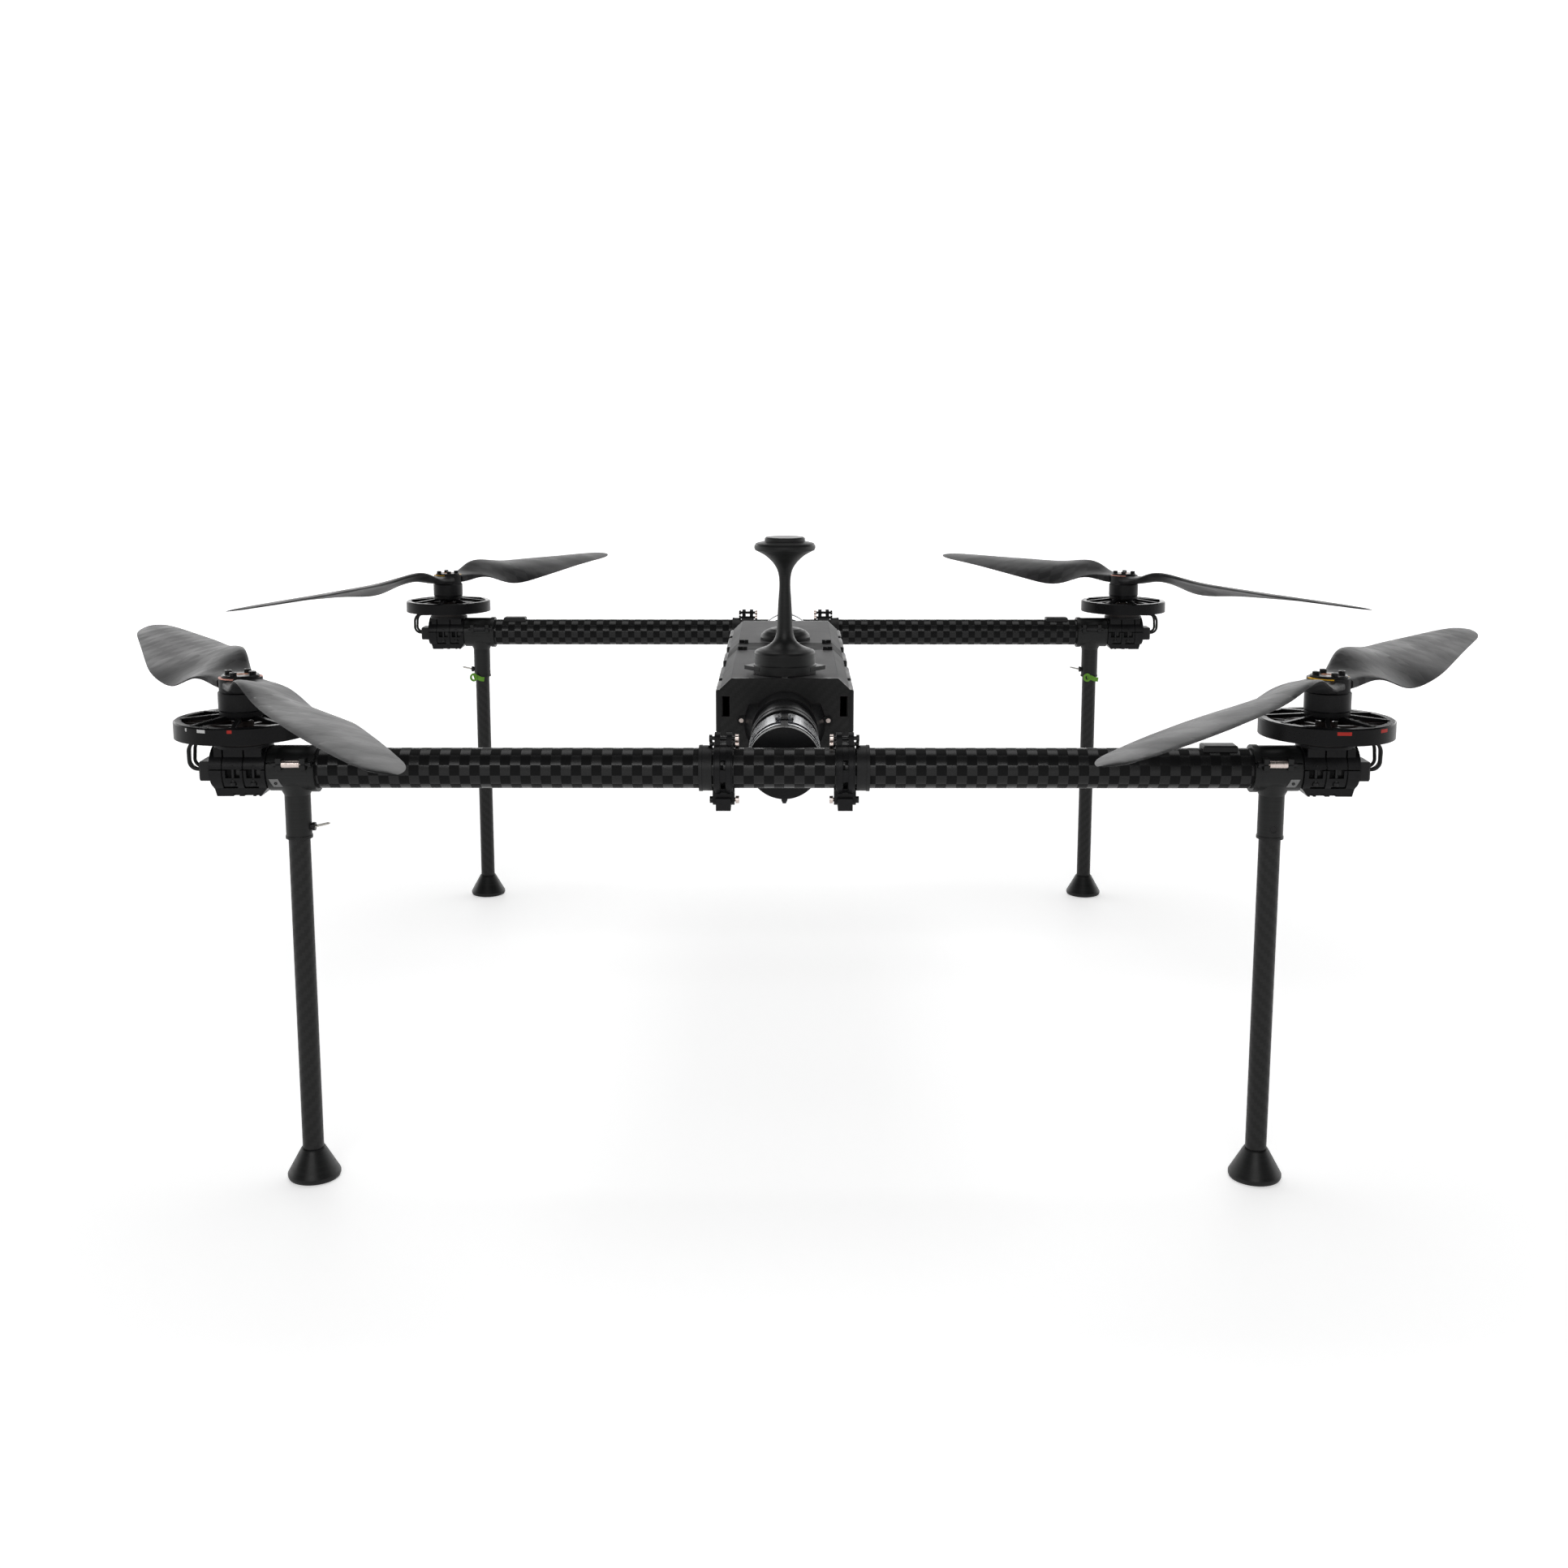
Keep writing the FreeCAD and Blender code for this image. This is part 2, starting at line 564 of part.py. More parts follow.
def tube_clamp():
    """A split ring over the tube joint, with a forked head and two ears astride the rail."""
    centre = V(RAIL_X - 7.0, -MOTOR_Y, TUBE_Z)
    band = cyl(centre, AXIS_X, 18.6, 14.0)
    ribs = [cyl(V(x, -MOTOR_Y, TUBE_Z), AXIS_X, 19.6, 3.4) for x in (39.2, 47.4)]
    foot = box(38.6, 51.4, -MOTOR_Y - 7.5, -MOTOR_Y + 7.5, RAIL_TOP, 308.0)
    ears = [cyl(V(x, -MOTOR_Y, 298.5), AXIS_X, 5.4, 2.4) for x in (36.9, 50.7)]
    webs = [box(x, x + 2.4, -MOTOR_Y - 5.4, -MOTOR_Y + 5.4, 298.5, 306.0) for x in (36.9, 50.7)]
    prongs = []
    for x in (38.6, 47.4):
        prongs.append(box(x, x + 4.0, -MOTOR_Y - 7.0, -MOTOR_Y + 7.0, 336.0, 344.0))
        prongs.append(cyl(V(x, -MOTOR_Y, 342.0), AXIS_X, 6.0, 4.0))
    body = fused([band] + ribs + [foot] + ears + webs + prongs)
    bore = cyl(V(0, -MOTOR_Y, TUBE_Z), AXIS_X, TUBE_R, 80)
    rail_slot = box(RAIL_X - RAIL_W / 2, RAIL_X + RAIL_W / 2, -RAIL_END, -300, 280, RAIL_TOP)
    split = box(30, 60, -MOTOR_Y - 0.8, -MOTOR_Y + 0.8, 334.0, 350.0)
    heights = ((323.0, 330.0), (307.7, 313.8))
    windows = [box(43.2, 46.8, -MOTOR_Y - 25, -MOTOR_Y + 25, z0, z1) for z0, z1 in heights]
    return body.cut([bore, rail_slot, split] + windows + clamp_bolts())


def plate_screws():
    """Screws that hold the neck's flange to the end plate."""
    screws = []
    for x in (-37.0, 37.0):
        head = cyl(V(x, -BODY_END - 2.0, 322.0), AXIS_Y, 2.0, 2.0)
        shank = cyl(V(x, -BODY_END - 0.1, 322.0), AXIS_Y, 1.4, PLATE + 4.0)
        screws.append(head.fuse(shank))
    return screws


# ---- fuselage -----------------------------------------------------------------------------------
def section_outline(inset):
    """Half-octagon section of the fuselage, drawn in by an even amount."""
    bevel = inset * 0.414
    return [(-BODY_W + inset, FLOOR_Z + inset), (BODY_W - inset, FLOOR_Z + inset),
            (BODY_W - inset, SHOULDER_Z - bevel), (TOP_W - bevel, TOP_Z - inset),
            (-TOP_W + bevel, TOP_Z - inset), (-BODY_W + inset, SHOULDER_Z - bevel)]


def roof_section(thickness):
    """Section of the roof: a flat top with a bevelled flank each side."""
    bevel = thickness * 0.414
    foot = BODY_W - thickness * 1.38
    return [(-BODY_W, SHOULDER_Z), (-TOP_W, TOP_Z), (TOP_W, TOP_Z), (BODY_W, SHOULDER_Z),
            (foot, SHOULDER_Z), (TOP_W - bevel, TOP_Z - thickness), (-TOP_W + bevel, TOP_Z - thickness),
            (-foot, SHOULDER_Z)]


def end_bulkhead():
    plate = xz_prism(section_outline(0.0), -BODY_END, -BODY_END + PLATE)
    slots = [box(x - 3.5, x + 3.5, -210, -190, 325.0, 342.5) for x in (-50.5, 50.5)]
    sides = (-1, 1)
    rails = [box(side * RAIL_X - RAIL_W / 2, side * RAIL_X + RAIL_W / 2, -210, -190, RAIL_BOTTOM, RAIL_TOP)
             for side in sides]
    duct = cyl(V(0, -210, NECK_Z), AXIS_Y, 18.0, 20)
    margins = [box(side * 51.0 - 4.4, side * 51.0 + 4.4, -210, -BODY_END + 0.6, RAIL_TOP + 2, SHOULDER_Z - 1.0)
               for side in sides]
    return plate.cut(slots + rails + margins + [duct] + plate_screws())


def side_panel():
    inner = BODY_W - SKIN
    long_half = BODY_END - PLATE
    panel = box(inner, BODY_W, -long_half, long_half, RAIL_BOTTOM, SHOULDER_Z - 0.5)
    vents = [box(inner - 1, BODY_W + 1, y, y + 18.0, 306.0, 309.0) for y in (-30.0, -9.0, 12.0)]
    return panel.cut(vents)


def bottom_panel():
    long_half = BODY_END - PLATE
    panel = box(-BODY_W, BODY_W, -long_half, long_half, FLOOR_Z, RAIL_BOTTOM)
    holes = []
    for x in (-PAYLOAD_X, PAYLOAD_X):
        for y in (-PAYLOAD_Y, PAYLOAD_Y):
            holes.append(cyl(V(x, y, 280), AXIS_Z, PAYLOAD_HOLE_R, 30))
    return panel.cut(holes)


def hinge_axis_cyl(side, end, x0, length, radius):
    return cyl(V(side * x0 if side > 0 else -x0 - length, end * HINGE_Y, HINGE_Z), AXIS_X, radius, length)


def mid_frame():
    """Fixed arch between the covers: a roof strip on two inner bulkheads, with the hinge knuckles."""
    roof = xz_prism(roof_section(PLATE), -MID_HALF, MID_HALF)
    walls = []
    for y in (-MID_HALF, MID_HALF - PLATE):
        wall = box(-BODY_W + SKIN, BODY_W - SKIN, y, y + PLATE, RAIL_TOP, SHOULDER_Z)
        crown = xz_prism(section_outline(PLATE - 0.5), y, y + PLATE)
        crown = crown.common(box(-60, 60, y, y + PLATE, 340, 360))
        walls.append(wall.fuse(crown))
    ducts = [cyl(V(x, -40, 312.0), AXIS_Y, 8.0, 80) for x in (-30.0, 30.0)]
    body = fused([roof] + walls).cut(ducts)
    for end in (-1, 1):
        for side in (-1, 1):
            moving = HINGE_OUT - HINGE_SPLIT + 2 * KNUCKLE_GAP
            body = body.cut(hinge_axis_cyl(side, end, HINGE_SPLIT, moving, KNUCKLE_R + KNUCKLE_GAP))
            knuckle = hinge_axis_cyl(side, end, HINGE_IN, HINGE_SPLIT - HINGE_IN, KNUCKLE_R)
            y0, y1 = sorted((end * (MID_HALF - 3.5), end * MID_HALF))
            x0, x1 = sorted((side * HINGE_IN, side * HINGE_SPLIT))
            body = fused([body, knuckle, box(x0, x1, y0, y1, 357.0, HINGE_Z)])
            body = body.cut(hinge_axis_cyl(side, end, HINGE_IN - 1, 12.0, HINGE_PIN_R))
    return body


def hinge_pins():
    pins = []
    for end in (-1, 1):
        for side in (-1, 1):
            pins.append(hinge_axis_cyl(side, end, HINGE_IN, HINGE_OUT - HINGE_IN, HINGE_PIN_R))
    return pins


def cover(end):
    """A battery cover: bevelled roof, two hinge knuckles and a finger lip at its outer end."""
    near = MID_HALF + COVER_GAP
    far = BODY_END - PLATE - 0.4
    body = xz_prism(roof_section(SKIN), -far, -near)
    for side in (-1, 1):
        fixed = HINGE_SPLIT - HINGE_IN + 2 * KNUCKLE_GAP
        body = body.cut(hinge_axis_cyl(side, -1, HINGE_IN - KNUCKLE_GAP, fixed, KNUCKLE_R + KNUCKLE_GAP))
        x0, x1 = sorted((side * (HINGE_SPLIT + KNUCKLE_GAP), side * HINGE_OUT))
        web = box(x0, x1, -HINGE_Y - 4.0, -HINGE_Y, 357.2, HINGE_Z)
        knuckle = hinge_axis_cyl(side, -1, HINGE_SPLIT + KNUCKLE_GAP, x1 - x0, KNUCKLE_R)
        body = fused([body, web, knuckle])
        body = body.cut(hinge_axis_cyl(side, -1, HINGE_IN - 1, 12.0, HINGE_PIN_R + PIN_FIT))
    if end > 0:
        body = flipped(body, AXIS_Y)
    return body


def side_brackets():
    """Black pads along the fuselage's flanks."""
    pads = []
    for y0, y1 in ((-203.0, -152.0), (-138.0, -68.0), (-28.0, 28.0), (68.0, 138.0), (152.0, 203.0)):
        pad = box(BODY_W, BODY_W + 3.7, y0, y1, 311.0, SHOULDER_Z - 1.0)
        pad = pad.makeChamfer(1.2, [edge for edge in pad.Edges if edge.CenterOfMass.x > BODY_W + 3.6])
        pads += left_and_right(pad)
    return pads


def neck():
    """Stub between the fuselage and a cross tube: flange, tube, stop ring and end disc."""
    tube = cyl(V(0, -NECK_END + 2, NECK_Z), AXIS_Y, NECK_TUBE_R, NECK_END - BODY_END - 2)
    root = cyl(V(0, -240.0, NECK_Z), AXIS_Y, NECK_R, 240.0 - BODY_END)
    flare = Part.makeCone(34.5, NECK_R, 30.0, V(0, -BODY_END, NECK_Z), V(0, -1, 0))
    flare = flare.common(box(-50, 50, -250, -200, 285, 336))
    stop = cyl(V(0, -298.0, NECK_Z), AXIS_Y, NECK_R, 24.0)
    groove = ring(V(0, -288.0, NECK_Z), AXIS_Y, NECK_R + 1.0, NECK_R - 0.8, 4.0)
    disc = cyl(V(0, -NECK_END, NECK_Z), AXIS_Y, NECK_R, 8.0)
    ears = [cyl(V(x, -BODY_END - 3.0, 322.0), AXIS_Y, 3.6, 3.0) for x in (-37.0, 37.0)]
    bridges = [box(x - 4, x + 4, -BODY_END - 3.0, -BODY_END, 318.4, 325.6) for x in (-33.0, 33.0)]
    body = fused([tube, root, flare, stop, disc] + ears + bridges).cut(groove)
    duct = cyl(V(0, -NECK_END + 6, NECK_Z), AXIS_Y, 22.5, NECK_END)
    heads = [cyl(V(x, -BODY_END - 4.0, 322.0), AXIS_Y, 2.1, 2.2) for x in (-37.0, 37.0)]
    return body.cut([duct] + heads + plate_screws())


def neck_clamp():
    """A split band round the neck, drawn up by a bolt across the slit at the top."""
    band = ring(V(0, -365.0, NECK_Z), AXIS_Y, NECK_R + 0.5, NECK_TUBE_R, 50.0)
    groove = ring(V(0, -360.0, NECK_Z), AXIS_Y, NECK_R + 2.0, NECK_R - 1.2, 9.0)
    slit = box(-2.8, 2.8, -366.0, -314.0, 338.0, 355.0)
    lugs = box(-5.6, 5.6, -350.0, -340.0, 344.5, 350.0)
    drop = turned([(0, 285.4), (1.4, 285.4), (2.4, 287.6), (2.4, 293.5), (0, 293.5)], V(0, -361.0, 0))
    solid_core = cyl(V(0, -366.0, NECK_Z), AXIS_Y, NECK_TUBE_R, 52.0)
    body = fused([band.cut(groove), lugs, drop]).cut([slit, solid_core])
    return body


def neck_clamp_bolt():
    return cyl(V(-7.0, -345.0, 348.1), AXIS_X, 1.2, 14.0)


# ---- mast and puck ------------------------------------------------------------------------------
def gnss_mast():
    """A moulded trumpet on a stepped foot with a pointed lug each side."""
    foot = [(2.2, 358.0), (24.4, 358.0), (24.4, 358.5), (27.0, 358.6), (27.0, 366.0), (26.3, 367.0),
            (26.2, 376.2)]
    stem = [(25.4, 377.8), (21.2, 379.6), (16.4, 381.4), (13.0, 383.5), (10.2, 386.1), (8.5, 389.2),
            (7.4, 393.2), (6.7, 399.0), (6.3, 407.0), (5.9, 416.0),
            (5.3, 426.0), (4.8, 435.0), (5.0, 440.5), (5.8, 445.2),
            (7.6, 449.8), (10.2, 453.6), (13.6, 457.2), (17.6, 460.4), (22.0, 462.9), (25.4, 464.6)]
    head = [(26.2, 466.4), (26.1, 468.4), (24.7, 470.4), (18.8, 471.9), (17.4, MAST_TOP), (2.2, MAST_TOP)]
    body = turned_smooth(foot, stem, head, V(0, MAST_Y, 0))
    lug_points = [V(-35.0, MAST_Y, 361.6), V(-22.0, MAST_Y - 16.0, 361.6), V(22.0, MAST_Y - 16.0, 361.6),
                  V(35.0, MAST_Y, 361.6), V(22.0, MAST_Y + 16.0, 361.6), V(-22.0, MAST_Y + 16.0, 361.6)]
    lugs = prism(lug_points, V(0, 0, 3.4))
    bore = cyl(V(0, MAST_Y, 350.0), AXIS_Z, 2.2, 150.0)
    return fused([body, lugs]).cut(bore)


def gnss_antenna():
    outline = [(0, MAST_TOP), (17.2, MAST_TOP), (17.2, MAST_TOP + 2.6), (16.2, MAST_TOP + 3.6),
               (0, MAST_TOP + 3.6)]
    return turned(outline, V(0, MAST_Y, 0))


def top_puck():
    outline = [(0, TOP_Z), (24.5, TOP_Z), (24.5, 360.8), (23.4, 363.6), (20.2, 366.8), (15.0, 369.0),
               (8.2, 370.4), (0, 370.8)]
    return turned(outline, V(0, PUCK_Y, 0))


# ---- what the fuselage holds --------------------------------------------------------------------
def battery():
    pack = box(-44.0, 44.0, -196.0, -40.0, RAIL_TOP, 350.0)
    pack = pack.makeFillet(3.0, pack.Edges)
    return pack


def flight_controller():
    case = box(-24.0, 24.0, -20.0, 20.0, 322.0, 341.0)
    return case.makeFillet(2.0, case.Edges)


def power_board():
    """Distribution board on its posts, with four terminals and the shelf under the flight controller."""
    board = box(-36.0, 36.0, -20.0, 20.0, 304.0, 306.0)
    posts = [cyl(V(x, y, RAIL_BOTTOM), AXIS_Z, 2.5, 14.0) for x in (-32.0, 32.0) for y in (-16.0, 16.0)]
    terminals = [box(x - 4, x + 4, y - 4, y + 4, 305.5, 312.0) for x in (-24.0, 24.0) for y in (-12.0, 12.0)]
    risers = [cyl(V(x, 0, 305.5), AXIS_Z, 3.0, 16.5) for x in (-18.0, 18.0)]
    return fused([board] + posts + terminals + risers)


# ---- make every piece ---------------------------------------------------------------------------
def main():
    os.makedirs("parts", exist_ok=True)
    tee = leg_tee()
    tees = []
    for name in CORNERS:
        save("arm_tube_" + name, at_corner(arm_tube(), name))
        save("leg_tube_" + name, at_corner(leg_tube(), name).cut(pin_bore(name)))
        save("leg_pin_" + name, leg_pin(name))
        tees.append(at_corner(tee, name).cut(pin_bore(name)))
        save("rotor_bell_" + name, park(rotor_bell(), name))
        save("prop_fittings_" + name, [park(piece, name) for piece in prop_fittings()])
        save("propeller_" + name, park(propeller(PARKED[name][1]), name))
    save("leg_tees", tees)
    save("leg_feet", at_corners(leg_foot()))
    save("centre_tubes", front_and_rear(centre_tube()))
    save("arm_collars", at_corners(arm_collar()))
    save("motor_mounts", at_corners(motor_mount()))
    save("mount_caps", at_corners(mount_cap()))
    save("motor_stators", at_corners(motor_stator()))
    save("motor_bearings", [at_corner(piece, name) for name in CORNERS for piece in motor_bearings()])
    leads = [motor_lead(offset) for offset in (-7.0, 0.0, 7.0)]
    save("motor_leads", [at_corner(lead, name) for name in CORNERS for lead in leads])
    save("arm_end_plugs", at_corners(arm_end_plug()))
    save("nav_lights", at_corners(nav_light()))
    save("speed_controllers", at_corners(speed_controller()))
    save("rails", left_and_right(rail()))
    clamps = [piece for side in left_and_right(tube_clamp()) for piece in front_and_rear(side)]
    save("tube_clamps", clamps)
    sides = [side for bolt in clamp_bolts() for side in left_and_right(bolt)]
    bolts = [piece for side in sides for piece in front_and_rear(side)]
    bolts += [piece for screw in plate_screws() for piece in front_and_rear(screw)]
    bolts += [at_corner(piece, name) for name in CORNERS for piece in mount_screws() + [tee_barrel()]]
    bolts += front_and_rear(neck_clamp_bolt())
    save("fasteners", bolts)
    save("front_bulkhead", end_bulkhead())
    save("rear_bulkhead", flipped(end_bulkhead(), AXIS_Y))
    save("side_panel_left", flipped(side_panel(), AXIS_X))
    save("side_panel_right", side_panel())
    save("bottom_panel", bottom_panel())
    save("mid_frame", mid_frame())
    save("hinge_pins", hinge_pins())
    save("front_cover", cover(-1))
    save("rear_cover", cover(1))
    save("side_brackets", side_brackets())
    save("front_neck", neck())
    save("rear_neck", flipped(neck(), AXIS_Y))
    save("neck_clamps", [piece.cut(bolts[-2:]) for piece in front_and_rear(neck_clamp())])
    save("gnss_mast", gnss_mast())
    save("gnss_antenna", gnss_antenna())
    save("top_puck", top_puck())
    save("front_battery", battery())
    save("rear_battery", flipped(battery(), AXIS_Y))
    save("flight_controller", flight_controller())
    save("power_board", power_board())


main()
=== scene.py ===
"""Looks of the quadcopter: materials, trim, camera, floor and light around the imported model."""
import json
import math

import bmesh
import bpy
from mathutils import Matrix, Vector


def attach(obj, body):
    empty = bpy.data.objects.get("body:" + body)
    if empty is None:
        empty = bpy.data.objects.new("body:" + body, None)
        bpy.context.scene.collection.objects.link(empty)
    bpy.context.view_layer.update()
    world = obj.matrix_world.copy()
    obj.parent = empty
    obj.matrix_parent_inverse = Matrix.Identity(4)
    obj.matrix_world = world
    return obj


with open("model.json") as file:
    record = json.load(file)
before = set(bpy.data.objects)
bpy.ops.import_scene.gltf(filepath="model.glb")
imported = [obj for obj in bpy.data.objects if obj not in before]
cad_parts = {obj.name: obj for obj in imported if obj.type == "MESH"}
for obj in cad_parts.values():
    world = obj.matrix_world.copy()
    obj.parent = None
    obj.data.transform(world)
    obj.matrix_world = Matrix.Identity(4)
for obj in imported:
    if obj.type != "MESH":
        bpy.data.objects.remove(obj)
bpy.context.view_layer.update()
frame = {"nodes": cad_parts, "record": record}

# ---- sizes in metres, in the part's own frame ---------------------------------------------------
MOTOR = 0.400                    # motor axes, each side of the middle
TUBE_Z = 0.321                   # axis of the arm tubes
TUBE_CHECK = 0.00745             # one check along a tube
TUBE_CHECKS_ROUND = 12.0
TUBE_SEAM = 0.63                 # where a seam between two rows of checks lies, in checks
LEG_X = 0.362                    # leg axes, each side of the middle
LEG_R = 0.008
LEG_TOWS_ROUND = 20
PROP_Z = 0.3835
BLADE_TOW = 0.0155
CORNERS = {"front_left": (-1, -1), "front_right": (1, -1), "rear_left": (-1, 1), "rear_right": (1, 1)}
# where each propeller is parked, in degrees, and which way it spins
PARKED = {
    "front_left": (121.2, -1),
    "front_right": (52.5, 1),
    "rear_left": (64.6, 1),
    "rear_right": (120.7, -1),
}

# ---- where a finish changes on one piece, in metres ---------------------------------------------
# OUT and ALONG are distances from the middle to the side and lengthwise, and LOW, TOP and Z are heights
CLAMP_HEAD_OUT = 0.0364          # bolt heads on the tube clamps
CLAMP_HEAD_ALONG = (0.385, 0.415)
PLATE_SCREW_OUT = 0.0400
PLATE_SCREW_ALONG = (0.195, 0.215)
SPACER_OUT = (0.3535, 0.3675)
SPACER_ALONG = 0.41
PIN_WIRE = 0.0131                # a pin's wire lies further than this from its leg's axis
DRAIN_TOP = 0.2918
FLANK_OUT = 0.0452
KNUCKLE_OUT = (0.0355, 0.0450)
KNUCKLE_ALONG = (0.0228, 0.0300)
KNUCKLE_LOW = 0.3583
HUB_DAB_R = 0.0058
HUB_DAB_Z = (0.3905, 0.3915)
LABEL_RING = (0.0137, 0.0158)    # nearest and furthest edge of the dabs of paint round a hub
LABEL_LOW = 0.3888
LABEL_GAP = 0.1                  # sine at which each dab ends

# ---- finishes -----------------------------------------------------------------------------------
LABELS = {-1: (0.62, 0.30, 0.24), 1: (0.75, 0.42, 0.03)}   # the dabs, by the way a propeller spins
BLADE_DARK, BLADE_LIGHT = 0.012, 0.020   # the same carbon on all four propellers
BLACKENED = (0.006, 0.006, 0.0065)
PRINTED = ("gnss_mast", "leg_feet", "top_puck", "leg_tees", "gnss_antenna")

# ---- studio -------------------------------------------------------------------------------------
HORIZON = 2.6                    # strength of the surround, level with the eye and overhead
OVERHEAD = 0.10
HORIZON_FADE = (0.24, 0.50)      # heights between which it fades, 1 straight up
FRONT_SHARE = 0.22               # share of it that comes from the front
FRONT_FADE = (-0.35, 0.25)
FLOOR_HALF = 60.0
FLOOR_GLOW_NEAR = 0.44           # the lit table's own light, near the object and far from it
FLOOR_GLOW_FAR = 0.88
FLOOR_GLOW_REACH = (0.5, 4.0)
CAMERA_PLACE = (0.0026, -1.6811, 0.5851)
CAMERA_DOWN, CAMERA_TURN = 9.268, 0.126   # degrees
CAMERA_LENS = 40.47
CAMERA_SHIFT = -0.057


# ---- node helpers -------------------------------------------------------------------------------
class Nodes:
    """Builds one material's node tree with short calls. It is called n wherever it is used."""

    def __init__(self, name):
        self.material = bpy.data.materials.new(name)
        self.material.use_nodes = True
        self.tree = self.material.node_tree
        self.shader = self.tree.nodes["Principled BSDF"]

    def node(self, kind, **settings):
        made = self.tree.nodes.new(kind)
        for key, value in settings.items():
            setattr(made, key, value)
        return made

    def put(self, value, socket):
        """Link a socket or set a plain value on an input."""
        if isinstance(value, bpy.types.NodeSocket):
            self.tree.links.new(value, socket)
        elif value is not None:
            socket.default_value = value

    def math(self, operation, *values):
        made = self.node("ShaderNodeMath", operation=operation)
        for value, socket in zip(values, made.inputs):
            self.put(value, socket)
        return made.outputs[0]

    def coords(self):
        return self.node("ShaderNodeTexCoord").outputs["Object"]

    def split(self, vector):
        made = self.node("ShaderNodeSeparateXYZ")
        self.put(vector, made.inputs[0])
        return made.outputs

    def join(self, x, y, z):
        made = self.node("ShaderNodeCombineXYZ")
        for value, socket in zip((x, y, z), made.inputs):
            self.put(value, socket)
        return made.outputs[0]

    def noise(self, vector, scale, detail=3.0, rough=0.55):
        made = self.node("ShaderNodeTexNoise")
        self.put(vector, made.inputs["Vector"])
        made.inputs["Scale"].default_value = scale
        made.inputs["Detail"].default_value = detail
        made.inputs["Roughness"].default_value = rough
        return made.outputs["Fac"]

    def ramp(self, value, low, high, to_low=0.0, to_high=1.0):
        made = self.node("ShaderNodeMapRange")
        for item, socket in zip((value, low, high, to_low, to_high), made.inputs):
            self.put(item, socket)
        return made.outputs[0]

    def spread(self, noise, to_low=0.0, to_high=1.0):
        """The middle of a noise's range, stretched between two values."""
        return self.ramp(noise, 0.3, 0.7, to_low, to_high)

    def mix(self, fac, a, b):
        made = self.node("ShaderNodeMix", data_type="RGBA")
        self.put(fac, made.inputs["Factor"])
        for value, socket in ((a, made.inputs[6]), (b, made.inputs[7])):
            self.put(value if isinstance(value, bpy.types.NodeSocket) else (*value, 1.0), socket)
        return made.outputs[2]

    def bevel(self, radius):
        made = self.node("ShaderNodeBevel", samples=4)
        made.inputs["Radius"].default_value = radius
        return made.outputs[0]

    def bump(self, height, distance, strength=1.0, normal=None):
        made = self.node("ShaderNodeBump")
        self.put(height, made.inputs["Height"])
        made.inputs["Distance"].default_value = distance
        made.inputs["Strength"].default_value = strength
        self.put(normal, made.inputs["Normal"])
        return made.outputs[0]

    def between(self, value, low, high):
        """1 where the value lies between two limits, and 0 elsewhere."""
        above = self.math("GREATER_THAN", value, low)
        return self.math("MULTIPLY", above, self.math("LESS_THAN", value, high))

    def beyond(self, value, distance):
        """How far a coordinate lies past a distance from the middle, on both sides alike."""
        return self.math("SUBTRACT", self.math("ABSOLUTE", value), distance)

    def length(self, x, y):
        squares = self.math("ADD", self.math("MULTIPLY", x, x), self.math("MULTIPLY", y, y))
        return self.math("SQRT", squares)

    def weigh(self, a, share_a, b, share_b):
        """Two values added, each with its own weight."""
        return self.math("ADD", self.math("MULTIPLY", a, share_a), self.math("MULTIPLY", b, share_b))

    def choose(self, fac, a, b):
        """The first value where fac is 0, and the second where it is 1."""
        return self.weigh(a, self.math("SUBTRACT", 1.0, fac), b, fac)

    def finish(self, color, rough, normal=None, spec=0.2, **values):
        """Set the shader's inputs. An underscore in a further input's name stands for a space."""
        self.put(spec, self.shader.inputs["Specular IOR Level"])
        self.put(color, self.shader.inputs["Base Color"])
        self.put(rough, self.shader.inputs["Roughness"])
        self.put(normal, self.shader.inputs["Normal"])
        for name, value in values.items():
            self.put(value, self.shader.inputs[name.replace("_", " ")])
        return self.material


# ---- materials ----------------------------------------------------------------------------------
def speckled(name, dark, light, rough, scale=900.0, round_edge=0.0004, grain=0.00004, smudge=0.08,
             spec=0.2, marks=()):
    """A plain surface with fine grain, slow smudges in its gloss and softly rounded edges."""
    n = Nodes(name)
    at = n.coords()
    fine = n.noise(at, scale, 2.0)
    slow = n.noise(at, 38.0, 4.0)
    color = n.mix(n.spread(n.weigh(fine, 0.6, slow, 0.4)), dark, light)
    gloss = n.spread(slow, rough - smudge, rough + smudge)
    edge = n.bevel(round_edge) if round_edge else None
    normal = n.bump(fine, grain, 0.6, edge)
    for tint, mask in marks:
        color = n.mix(mask(n, at), color, tint)
    return n.finish(color, gloss, normal, spec)


